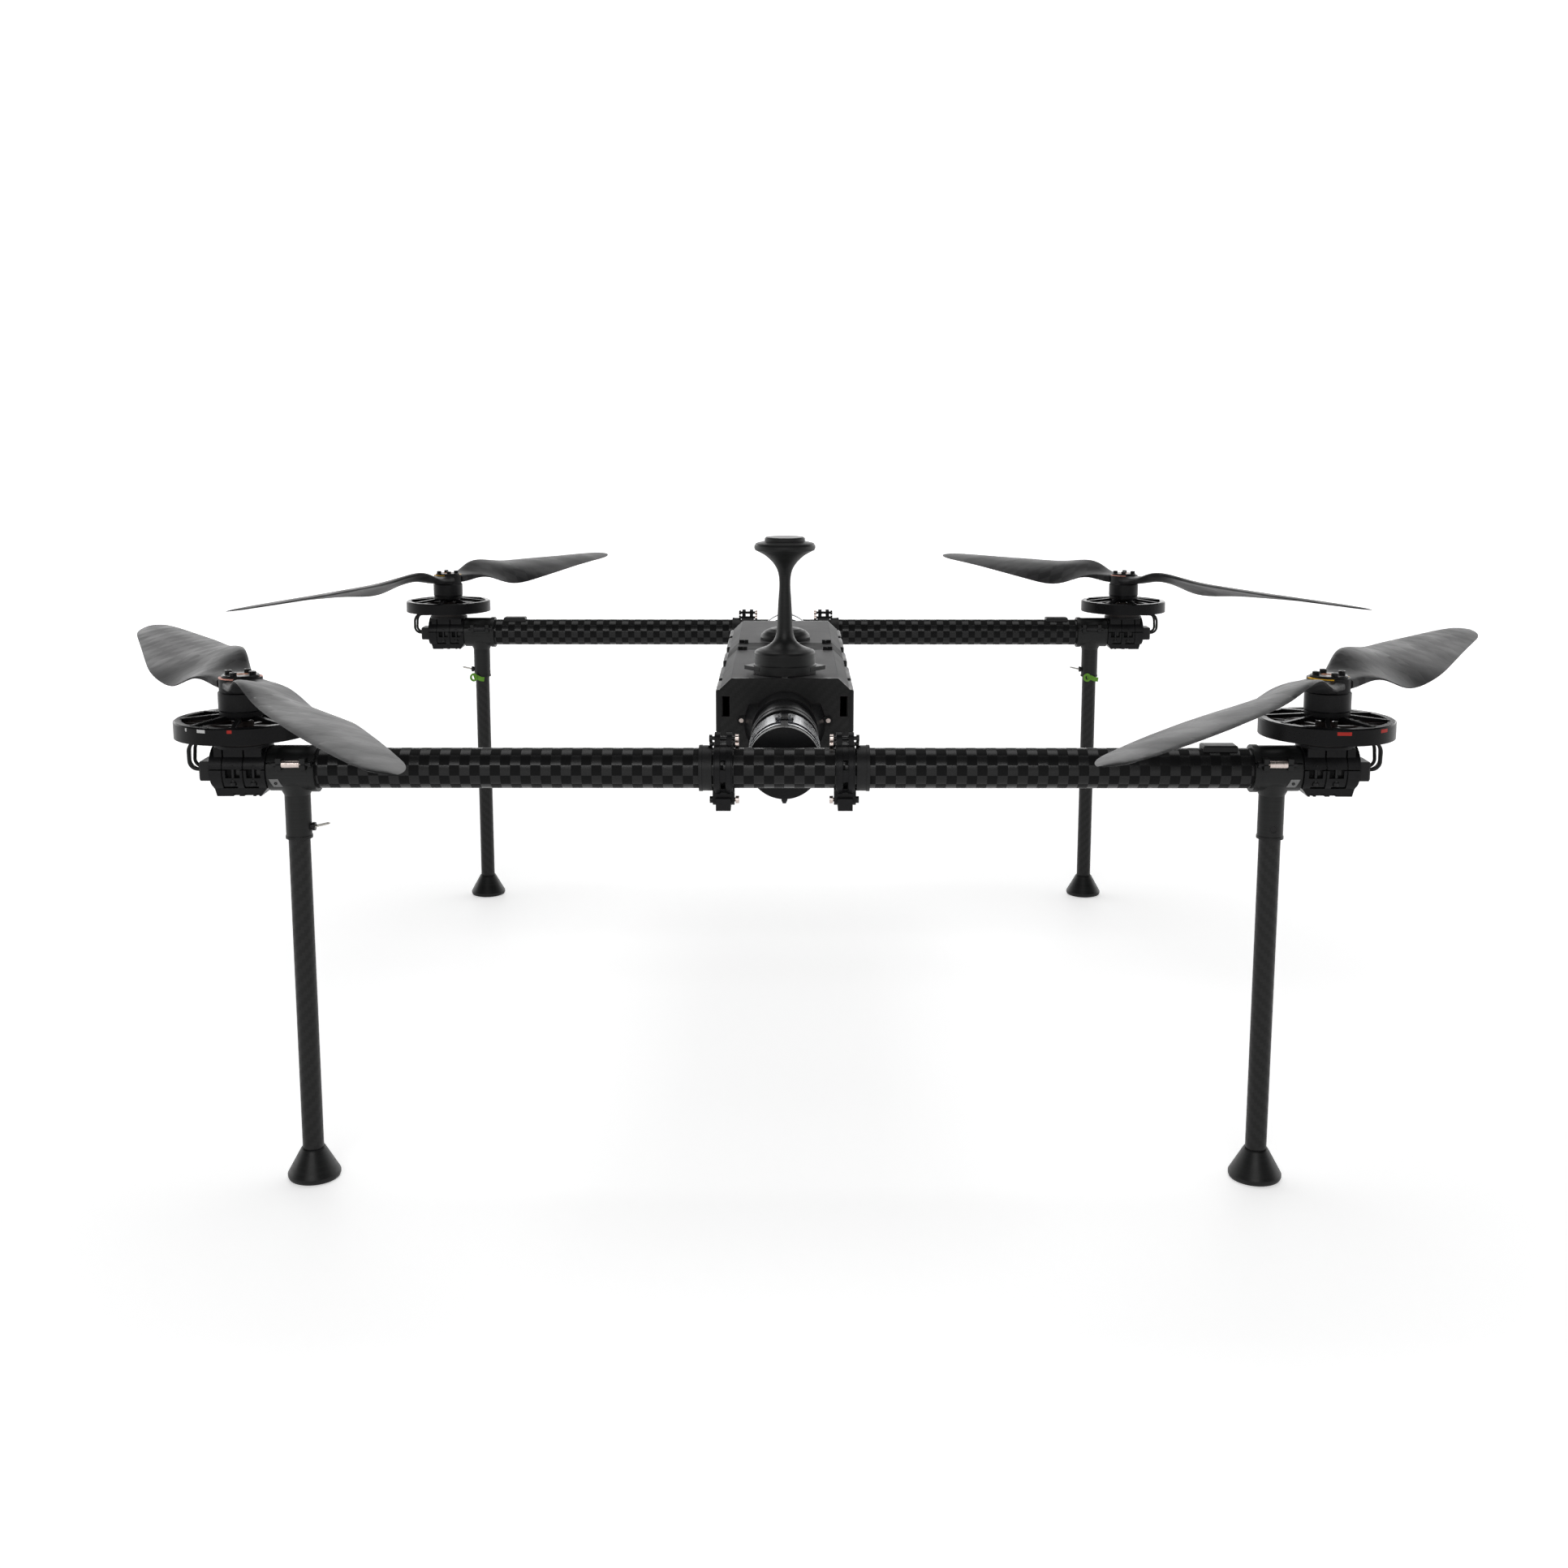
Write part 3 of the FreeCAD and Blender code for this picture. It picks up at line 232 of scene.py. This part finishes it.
def weave(n, u, v, at, tangent, dark, light, rough, spec, streak, crown=0.00003, aniso=0.75,
          patch=None):
    """Plain weave of flat tows: u runs along the part, v across it, one unit to a tow.

    Roughness and specular level are pairs, one for each way that a tow can lie.
    """
    cell = n.math("ADD", n.math("FLOOR", u), n.math("FLOOR", v))
    turn = n.math("PINGPONG", cell, 1.0)
    slow_u, slow_v = n.math("MULTIPLY", u, 0.35), n.math("MULTIPLY", v, 0.35)
    fast_u, fast_v = n.math("MULTIPLY", u, streak), n.math("MULTIPLY", v, streak)
    lines_u = n.noise(n.join(slow_u, fast_v, 0.0), 1.0, 2.0)
    lines_v = n.noise(n.join(fast_u, slow_v, 3.0), 1.0, 2.0)
    lines = n.choose(turn, lines_u, lines_v)
    seam = n.math("MINIMUM", n.math("PINGPONG", u, 0.5), n.math("PINGPONG", v, 0.5))
    seam = n.ramp(seam, 0.0, 0.07)
    cloud = n.noise(at, 24.0, 3.0)
    shade = n.math("MULTIPLY", n.ramp(turn, 0.0, 1.0, 0.55, 1.0), n.spread(lines, 0.65, 1.25))
    shade = n.math("MULTIPLY", shade, n.spread(cloud, 0.85, 1.15))
    color = n.mix(shade, (dark, dark, dark * 1.04), (light, light, light * 1.03))
    gloss = n.math("ADD", n.ramp(turn, 0.0, 1.0, *rough), n.spread(cloud, -0.04, 0.05))
    normal = n.bump(n.weigh(seam, 0.7, lines, 0.4), crown, 1.0)
    if patch:
        tint, mask = patch
        color = n.mix(mask, color, tint)
    shine = n.ramp(turn, 0.0, 1.0, *spec)
    quarter = n.math("MULTIPLY", turn, 0.25)
    made = n.finish(color, gloss, normal, shine, Anisotropic=aniso, Anisotropic_Rotation=quarter)
    n.put(n.join(*tangent), n.shader.inputs["Tangent"])
    return made


def tube_chequer():
    """Spread-tow chequer wrapped round the 30 mm tubes, which lie along X at two places in Y."""
    n = Nodes("carbon_tube_chequer")
    at = n.coords()
    x, y, z = n.split(at)
    around = n.math("ARCTAN2", n.math("SUBTRACT", z, TUBE_Z), n.beyond(y, MOTOR))
    turn = n.math("MULTIPLY", around, TUBE_CHECKS_ROUND / (2 * math.pi))
    turn = n.math("SUBTRACT", turn, TUBE_SEAM)
    along = n.math("DIVIDE", x, TUBE_CHECK)
    return weave(n, along, turn, at, tangent=(1.0, 0.0, 0.0), dark=0.005, light=0.007,
                 rough=(0.62, 0.24), streak=34.0, spec=(0.07, 0.22))


def blade_weave(name):
    """Wide chequer set on the bias along a propeller, in the propeller's own directions."""
    side, end = CORNERS[name]
    angle, spin = PARKED[name]
    bias = math.radians(angle + 45 * spin)
    n = Nodes("carbon_blade_" + name)
    at = n.coords()
    mapping = n.node("ShaderNodeMapping", vector_type="TEXTURE")
    mapping.inputs["Location"].default_value = (side * MOTOR, end * MOTOR, PROP_Z)
    mapping.inputs["Rotation"].default_value = (0.0, 0.0, bias)
    n.put(at, mapping.inputs["Vector"])
    u, v = n.split(mapping.outputs[0])[:2]

    x, y, z = n.split(at)
    across = n.math("SUBTRACT", x, side * MOTOR)
    deep = n.math("SUBTRACT", y, end * MOTOR)
    ring = n.between(n.length(across, deep), *LABEL_RING)
    wave = n.math("SINE", n.math("MULTIPLY", n.math("ARCTAN2", deep, across), 2.0))
    label = n.math("MULTIPLY", ring, n.math("GREATER_THAN", wave, LABEL_GAP))
    label = n.math("MULTIPLY", label, n.math("GREATER_THAN", z, LABEL_LOW))
    return weave(n, n.math("DIVIDE", u, BLADE_TOW), n.math("DIVIDE", v, BLADE_TOW), at,
                 tangent=(math.cos(bias), math.sin(bias), 0.0), dark=BLADE_DARK, light=BLADE_LIGHT,
                 rough=(0.34, 0.44), streak=46.0, crown=0.00002, aniso=0.35, spec=(0.03, 0.06),
                 patch=(LABELS[spin], label))


def twill(n, u, v, at, dark, light, rough, tow, depth):
    """2 by 2 twill: diagonal ribs one tow apart."""
    a = n.math("DIVIDE", u, tow)
    b = n.math("DIVIDE", v, tow)
    rib = n.math("SUBTRACT", n.math("FLOOR", a), n.math("FLOOR", b))
    over = n.math("FLOOR", n.math("MULTIPLY", n.math("WRAP", rib, 4.0, 0.0), 0.5))
    slow_a, slow_b = n.math("MULTIPLY", a, 0.4), n.math("MULTIPLY", b, 0.4)
    fast_a, fast_b = n.math("MULTIPLY", a, 9.0), n.math("MULTIPLY", b, 9.0)
    lines_a = n.noise(n.join(slow_a, fast_b, 0.0), 1.0, 2.0)
    lines_b = n.noise(n.join(fast_a, slow_b, 5.0), 1.0, 2.0)
    lines = n.choose(over, lines_b, lines_a)
    edge = n.math("MINIMUM", n.math("PINGPONG", a, 0.5), n.math("PINGPONG", b, 0.5))
    edge = n.ramp(edge, 0.0, 0.12)
    cloud = n.noise(at, 30.0, 3.0)
    shade = n.math("MULTIPLY", n.ramp(over, 0.0, 1.0, 0.45, 1.0), n.spread(lines, 0.7, 1.2))
    shade = n.math("MULTIPLY", shade, n.spread(cloud, 0.85, 1.1))
    color = n.mix(shade, (dark,) * 3, (light,) * 3)
    gloss = n.math("ADD", n.ramp(over, 0.0, 1.0, rough + 0.08, rough), n.spread(cloud, -0.04, 0.04))
    height = n.math("ADD", edge, n.math("MULTIPLY", lines, 0.5))
    return n.finish(color, gloss, n.bump(height, depth, 1.0))


def leg_twill():
    """Twill wrapped round the four leg tubes."""
    n = Nodes("carbon_leg_twill")
    at = n.coords()
    x, y, z = n.split(at)
    around = n.math("MULTIPLY", n.math("ARCTAN2", n.beyond(y, MOTOR), n.beyond(x, LEG_X)), LEG_R)
    tow = 2 * math.pi * LEG_R / LEG_TOWS_ROUND
    return twill(n, around, z, at, dark=0.005, light=0.012, rough=0.36, tow=tow, depth=0.00001)


def plate_twill():
    """Twill on the fuselage's plates, flat on every face that looks sideways, forward or back."""
    n = Nodes("carbon_plate_twill")
    at = n.coords()
    x, y, z = n.split(at)
    return twill(n, n.math("ADD", x, y), z, at, dark=0.006, light=0.013, rough=0.36, tow=0.0022,
                 depth=0.00002)


def layered(name, dark, light, rough, layer=0.0004):
    """Printed plastic: fine level layer lines over a satin grain."""
    n = Nodes(name)
    at = n.coords()
    x, y, z = n.split(at)
    line = n.math("PINGPONG", n.math("DIVIDE", z, layer), 0.5)
    drawn_out = [n.math("MULTIPLY", part, by) for part, by in zip((x, y, z), (0.1, 0.1, 14.0))]
    wobble = n.noise(n.join(*drawn_out), 90.0, 2.0)
    fine = n.noise(at, 1400.0, 2.0)
    color = n.mix(n.spread(n.weigh(wobble, 0.6, fine, 0.4)), dark, light)
    height = n.math("ADD", line, n.math("MULTIPLY", fine, 0.5))
    normal = n.bump(height, 0.00002, 0.7, n.bevel(0.0005))
    return n.finish(color, n.spread(wobble, rough - 0.05, rough + 0.06), normal)


def brushed(name, dark, light, rough, axis=1, bright=None):
    """Turned or brushed metal with fine lines across one axis. Outside the bright mask it is blackened."""
    n = Nodes(name)
    at = n.coords()
    stretch = [1.0, 1.0, 1.0]
    stretch[axis] = 60.0
    parts = [n.math("MULTIPLY", part, by) for part, by in zip(n.split(at), stretch)]
    lines = n.noise(n.join(*parts), 55.0, 3.0)
    slow = n.noise(at, 45.0, 3.0)
    color = n.mix(n.spread(lines), dark, light)
    gloss = n.math("ADD", n.spread(lines, rough - 0.04, rough + 0.05), n.spread(slow, -0.03, 0.05))
    metallic = 1.0
    if bright:
        metallic = bright(n, at)
        color = n.mix(metallic, BLACKENED, color)
    normal = n.bump(lines, 0.000003, 0.5, n.bevel(0.0003))
    return n.finish(color, gloss, normal, Metallic=metallic)


# ---- masks: which part of a piece a finish or a mark covers -------------------------------------
def bright_fastener(n, at):
    """Heads on the inboard side of the tube clamps, end-plate screws and the front tees' spacers."""
    x, y = n.split(at)[:2]
    out, along = n.math("ABSOLUTE", x), n.math("ABSOLUTE", y)
    heads = n.math("LESS_THAN", out, CLAMP_HEAD_OUT)
    heads = n.math("MULTIPLY", heads, n.between(along, *CLAMP_HEAD_ALONG))
    plates = n.math("LESS_THAN", out, PLATE_SCREW_OUT)
    plates = n.math("MULTIPLY", plates, n.between(along, *PLATE_SCREW_ALONG))
    spacers = n.between(out, *SPACER_OUT)
    spacers = n.math("MULTIPLY", spacers, n.math("GREATER_THAN", along, SPACER_ALONG))
    return n.math("MAXIMUM", n.math("MAXIMUM", heads, plates), spacers)


def bright_pin(n, at):
    """A leg pin's wire is bright and its head and shank are black."""
    x, y = n.split(at)[:2]
    away = n.length(n.beyond(x, LEG_X), n.beyond(y, MOTOR))
    return n.math("GREATER_THAN", away, PIN_WIRE)


def above_drain(n, at):
    """All of a neck clamp but the drain stub below it."""
    return n.math("GREATER_THAN", n.split(at)[2], DRAIN_TOP)


def bell_mark(side, first, last, low=0.3556, high=0.3580):
    """A mark round the rim of a front motor, between two angles from straight ahead in degrees."""
    def mask(n, at):
        x, y, z = n.split(at)
        across, ahead = n.math("SUBTRACT", x, side * MOTOR), n.math("SUBTRACT", -MOTOR, y)
        angle = n.math("ARCTAN2", across, ahead)
        sweep = n.between(angle, math.radians(first), math.radians(last))
        return n.math("MULTIPLY", sweep, n.between(z, low, high))
    return mask


def hub_dab(n, at):
    """The middle of a propeller's clamp disc."""
    x, y, z = n.split(at)
    away = n.length(n.beyond(x, MOTOR), n.beyond(y, MOTOR))
    return n.math("MULTIPLY", n.math("LESS_THAN", away, HUB_DAB_R), n.between(z, *HUB_DAB_Z))


def cover_flank_painted_shade(n, at):
    """The bevels down each side of a cover, coloured darker than its top as painted shade."""
    return n.math("GREATER_THAN", n.math("ABSOLUTE", n.split(at)[0]), FLANK_OUT)


def cover_dark(n, at):
    """The hinge knuckles."""
    x, y, z = n.split(at)
    out, along = n.math("ABSOLUTE", x), n.math("ABSOLUTE", y)
    knuckles = n.math("MULTIPLY", n.between(out, *KNUCKLE_OUT), n.between(along, *KNUCKLE_ALONG))
    return n.math("MULTIPLY", knuckles, n.math("GREATER_THAN", z, KNUCKLE_LOW))


# ---- the finishes, by slot or by use ------------------------------------------------------------
def make_materials():
    red, white = (0.30, 0.02, 0.015), (0.42, 0.42, 0.42)
    bell_marks = [
        (white, bell_mark(-1, -23, -15)),
        (red, bell_mark(-1, 4, 8)),
        (white, bell_mark(-1, -37, -35)),
        (red, bell_mark(1, -8, 4, 0.3545, 0.3570)),
        (red, bell_mark(1, 33, 42, 0.3550, 0.3575)),
    ]
    hub_marks = [((0.42, 0.20, 0.12), hub_dab)]
    # The bevels' darker grey is painted shade; the knuckles' black is their own colour.
    cover_shade_and_knuckles = [((0.040, 0.040, 0.041), cover_flank_painted_shade), ((0.006, 0.006, 0.006), cover_dark)]
    return {
        "black_aluminium": speckled("black_anodised", (0.004, 0.004, 0.0043), (0.009, 0.009, 0.0098),
                                    0.34, spec=0.12, marks=hub_marks),
        "black_steel": speckled("black_motor_steel", (0.002, 0.002, 0.0022), (0.005, 0.005, 0.0055),
                                0.30, spec=0.10, marks=bell_marks),
        "moulded_black": speckled("moulded_black", (0.005, 0.005, 0.0053), (0.010, 0.010, 0.0105),
                                  0.46, scale=1300.0, grain=0.00008),
        "printed_black": layered("printed_black", (0.005, 0.0052, 0.0052), (0.011, 0.0115, 0.0115), 0.40),
        # The covers' grey is partly their own colour and partly painted sheen, for the light their tops
        # catch at a low angle.
        "cover_grey": speckled("cover_grey", (0.078, 0.078, 0.079), (0.088, 0.088, 0.089), 0.50,
                               scale=1600.0, grain=0.00010, smudge=0.03, spec=0.03, marks=cover_shade_and_knuckles),
        "strip_black": speckled("strip_black", (0.012, 0.012, 0.012), (0.018, 0.018, 0.018), 0.55,
                                scale=1300.0, spec=0.02),
        "wire_black": speckled("wire_black", (0.004, 0.004, 0.004), (0.009, 0.009, 0.0095), 0.40,
                               round_edge=0.0),
        "battery_wrap": speckled("battery_wrap", (0.020, 0.022, 0.040), (0.035, 0.038, 0.060), 0.30,
                                 scale=300.0),
        "circuit": speckled("circuit_green", (0.008, 0.045, 0.020), (0.015, 0.075, 0.035), 0.38,
                            scale=500.0),
        # The stator windings are coloured near black.
        "winding": speckled("near_black_winding", (0.005, 0.004, 0.004), (0.016, 0.010, 0.008), 0.36,
                            scale=700.0),
        "steel": brushed("bright_steel", (0.50, 0.42, 0.39), (0.68, 0.60, 0.56), 0.28, axis=0,
                         bright=bright_fastener),
        "pins": brushed("pin_steel", (0.42, 0.41, 0.38), (0.60, 0.58, 0.54), 0.28, axis=2,
                        bright=bright_pin),
        "bearing_steel": brushed("bearing_steel", (0.55, 0.55, 0.56), (0.70, 0.70, 0.71), 0.22, axis=2),
        "bright_band": brushed("polished_band", (0.11, 0.115, 0.125), (0.14, 0.145, 0.155), 0.20,
                               bright=above_drain),
        "tie_green": speckled("green_tie", (0.070, 0.190, 0.012), (0.110, 0.270, 0.025), 0.42, scale=700.0),
        "silver_label": brushed("silver_label", (0.13, 0.13, 0.13), (0.19, 0.19, 0.19), 0.40, axis=0),
    }


def dress(materials):
    """Give every carried-over node its material."""
    chequer = tube_chequer()
    twill_leg = leg_twill()
    twill_plate = plate_twill()
    slots = {item["node"]: item["material_slot"] for item in frame["record"]["subparts"]}
    for name, obj in frame["nodes"].items():
        if name.startswith("arm_tube") or name == "centre_tubes":
            chosen = chequer
        elif name.startswith("leg_tube"):
            chosen = twill_leg
        elif name.startswith("propeller_"):
            chosen = blade_weave(name.removeprefix("propeller_"))
        elif name.startswith("leg_pin"):
            chosen = materials["pins"]
        elif slots[name] == "carbon_plate":
            chosen = twill_plate
        elif name == "mid_frame":
            chosen = materials["strip_black"]
        elif name in PRINTED:
            chosen = materials["printed_black"]
        else:
            chosen = materials[slots[name]]
        obj.data.materials.clear()
        obj.data.materials.append(chosen)


# ---- small parts that the solids leave out ------------------------------------------------------
def add_piece(name, bm, material, body):
    mesh = bpy.data.meshes.new(name)
    bm.to_mesh(mesh)
    bm.free()
    mesh.materials.append(material)
    obj = bpy.data.objects.new(name, mesh)
    bpy.context.scene.collection.objects.link(obj)
    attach(obj, body)


def thick_grid(rows, thickness):
    """A closed sheet through a grid of points."""
    bm = bmesh.new()
    points = [[bm.verts.new(point) for point in row] for row in rows]
    for upper, lower in zip(points, points[1:]):
        for a, b, c, d in zip(upper, upper[1:], lower[1:], lower):
            bm.faces.new((a, b, c, d))
    bmesh.ops.recalc_face_normals(bm, faces=bm.faces)
    bmesh.ops.solidify(bm, geom=bm.faces[:], thickness=thickness)
    bmesh.ops.recalc_face_normals(bm, faces=bm.faces)
    return bm


def ribbon(path, width, thickness, flat):
    """A closed strip along a path, lying across one direction."""
    rows = []
    for index, point in enumerate(path):
        ahead = path[min(index + 1, len(path) - 1)] - path[max(index - 1, 0)]
        across = ahead.cross(flat).normalized() * (width / 2)
        rows.append([point - across, point, point + across])
    return thick_grid(rows, thickness)


def tee_labels(materials):
    """A slanted silver label with a small dark ring, low on the front of each front tee."""
    tee_r, thick = 0.01718, 0.0002
    start_x, wide, slant = 0.3688, 0.0068, 0.0026
    low, sweep = -44, 26             # degrees round the tee, up from straight ahead
    dot_x, dot_turn, dot_rings = 0.3735, math.radians(-31), (0.0006, 0.0012)
    for name in ("front_left", "front_right"):
        side = CORNERS[name][0]
        rows = []
        for step in range(7):
            turn = math.radians(low + sweep * step / 6)
            y, z = -MOTOR - tee_r * math.cos(turn), TUBE_Z + tee_r * math.sin(turn)
            shift = slant * step / 6
            rows.append([(side * (start_x + shift + wide * k / 4), y, z) for k in range(5)])
        add_piece("tee_label_" + name, thick_grid(rows, thick), materials["silver_label"], "airframe")

        proud = tee_r + 0.0004
        dot = []
        for ring in dot_rings:
            row = []
            for step in range(13):
                around = math.radians(30 * step)
                turn = dot_turn + ring * math.sin(around) / tee_r
                x = side * (dot_x + ring * math.cos(around))
                row.append((x, -MOTOR - proud * math.cos(turn), TUBE_Z + proud * math.sin(turn)))
            dot.append(row)
        add_piece("tee_label_dot_" + name, thick_grid(dot, thick), materials["moulded_black"],
                  "airframe")


def green_ties(materials):
    """A looped tie of green ribbon round the front of each rear leg."""
    front, height = MOTOR - 0.0094, 0.2680
    forward = Vector((0, 1, 0))
    for name, loop_x, tail_x in (("rear_left", -0.3706, -0.3585), ("rear_right", 0.3580, 0.3712)):
        loop = []
        for step in range(25):
            around = math.radians(15 * step)
            x, z = loop_x + 0.0034 * math.cos(around), height + 0.0038 * math.sin(around)
            loop.append(Vector((x, front - 0.0012, z)))
        add_piece("tie_loop_" + name, ribbon(loop, 0.0024, 0.0011, forward), materials["tie_green"],
                  "airframe")

        tail = []
        for step in range(11):
            share = step / 10
            bow = 0.0010 * math.sin(math.pi * share)
            z = height - 0.0030 * share * share + 0.0006 * math.sin(7 * share)
            tail.append(Vector((loop_x + (tail_x - loop_x) * share, front - bow, z)))
        add_piece("tie_tail_" + name, ribbon(tail, 0.0052, 0.0008, forward), materials["tie_green"],
                  "airframe")


def latch_tab(materials):
    """The bright tab that lifts the front cover, at the middle of its front edge."""
    root, reach, height = -0.1995, 0.0040, 0.3583
    rows = []
    for step in range(7):
        share = step / 6
        half = 0.0027 - 0.0009 * share ** 3
        rise = height + 0.0007 * math.sin(math.pi * (0.35 + 0.5 * share))
        rows.append([(half * (k / 3 - 1), root - reach * share, rise) for k in range(7)])
    add_piece("latch_tab", thick_grid(rows, 0.0006), materials["silver_label"], "front_lid")


# ---- studio -------------------------------------------------------------------------------------
def sky_gradient():
    """Soft studio surround: bright behind the object, low in front of it and dim overhead."""
    world = bpy.data.worlds.new("studio")
    bpy.context.scene.world = world
    world.use_nodes = True
    tree = world.node_tree
    back = tree.nodes["Background"]
    where = tree.nodes.new("ShaderNodeTexCoord")
    parts = tree.nodes.new("ShaderNodeSeparateXYZ")
    tree.links.new(where.outputs["Generated"], parts.inputs[0])

    def smooth(source, *limits):
        made = tree.nodes.new("ShaderNodeMapRange")
        made.interpolation_type = "SMOOTHSTEP"
        for value, socket in zip(limits, made.inputs[1:5]):
            socket.default_value = value
        tree.links.new(source, made.inputs[0])
        return made.outputs[0]

    both = tree.nodes.new("ShaderNodeMath")
    both.operation = "MULTIPLY"
    tree.links.new(smooth(parts.outputs[2], *HORIZON_FADE, HORIZON, OVERHEAD), both.inputs[0])
    tree.links.new(smooth(parts.outputs[1], *FRONT_FADE, FRONT_SHARE, 1.0), both.inputs[1])
    tree.links.new(both.outputs[0], back.inputs["Strength"])
    back.inputs["Color"].default_value = (1.0, 1.0, 1.0, 1.0)


def add_light(name, place, aim, size, power):
    light = bpy.data.lights.new(name, "AREA")
    light.shape = "RECTANGLE"
    light.size, light.size_y = size
    light.energy = power
    obj = bpy.data.objects.new(name, light)
    bpy.context.scene.collection.objects.link(obj)
    obj.location = place
    obj.rotation_euler = (Vector(aim) - Vector(place)).to_track_quat("-Z", "Y").to_euler()


def make_floor():
    """A pale table, lit from inside, so that it stays pale under the soft light."""
    bm = bmesh.new()
    bmesh.ops.create_grid(bm, x_segments=4, y_segments=4, size=FLOOR_HALF)
    mesh = bpy.data.meshes.new("floor")
    bm.to_mesh(mesh)
    bm.free()
    floor = bpy.data.objects.new("floor", mesh)
    bpy.context.scene.collection.objects.link(floor)
    n = Nodes("pale_floor")
    at = n.coords()
    slow = n.noise(at, 1.2, 2.0)
    x, y = n.split(at)[:2]
    glow = n.ramp(n.length(x, y), *FLOOR_GLOW_REACH, FLOOR_GLOW_NEAR, FLOOR_GLOW_FAR)
    color = n.mix(slow, (0.86, 0.86, 0.86), (0.90, 0.90, 0.90))
    mesh.materials.append(n.finish(color, 0.6, Emission_Color=(1.0, 1.0, 1.0, 1.0), Emission_Strength=glow))


def make_camera():
    camera = bpy.data.cameras.new("camera")
    camera.sensor_width = 36.0
    camera.lens = CAMERA_LENS
    camera.shift_y = CAMERA_SHIFT
    obj = bpy.data.objects.new("camera", camera)
    bpy.context.scene.collection.objects.link(obj)
    obj.location = CAMERA_PLACE
    obj.rotation_euler = (math.radians(90 - CAMERA_DOWN), 0.0, math.radians(CAMERA_TURN))
    bpy.context.scene.camera = obj


make_camera()
sky_gradient()
add_light("top_box", place=(0.0, 0.9, 3.4), aim=(0, 0, 0.2), size=(3.0, 2.0), power=40.0)
add_light("front_box", place=(-0.4, -4.2, 2.3), aim=(0, 0, 0.3), size=(2.6, 1.0), power=60.0)
make_floor()
materials = make_materials()
dress(materials)
tee_labels(materials)
green_ties(materials)
latch_tab(materials)
bpy.context.scene.view_settings.view_transform = "Standard"
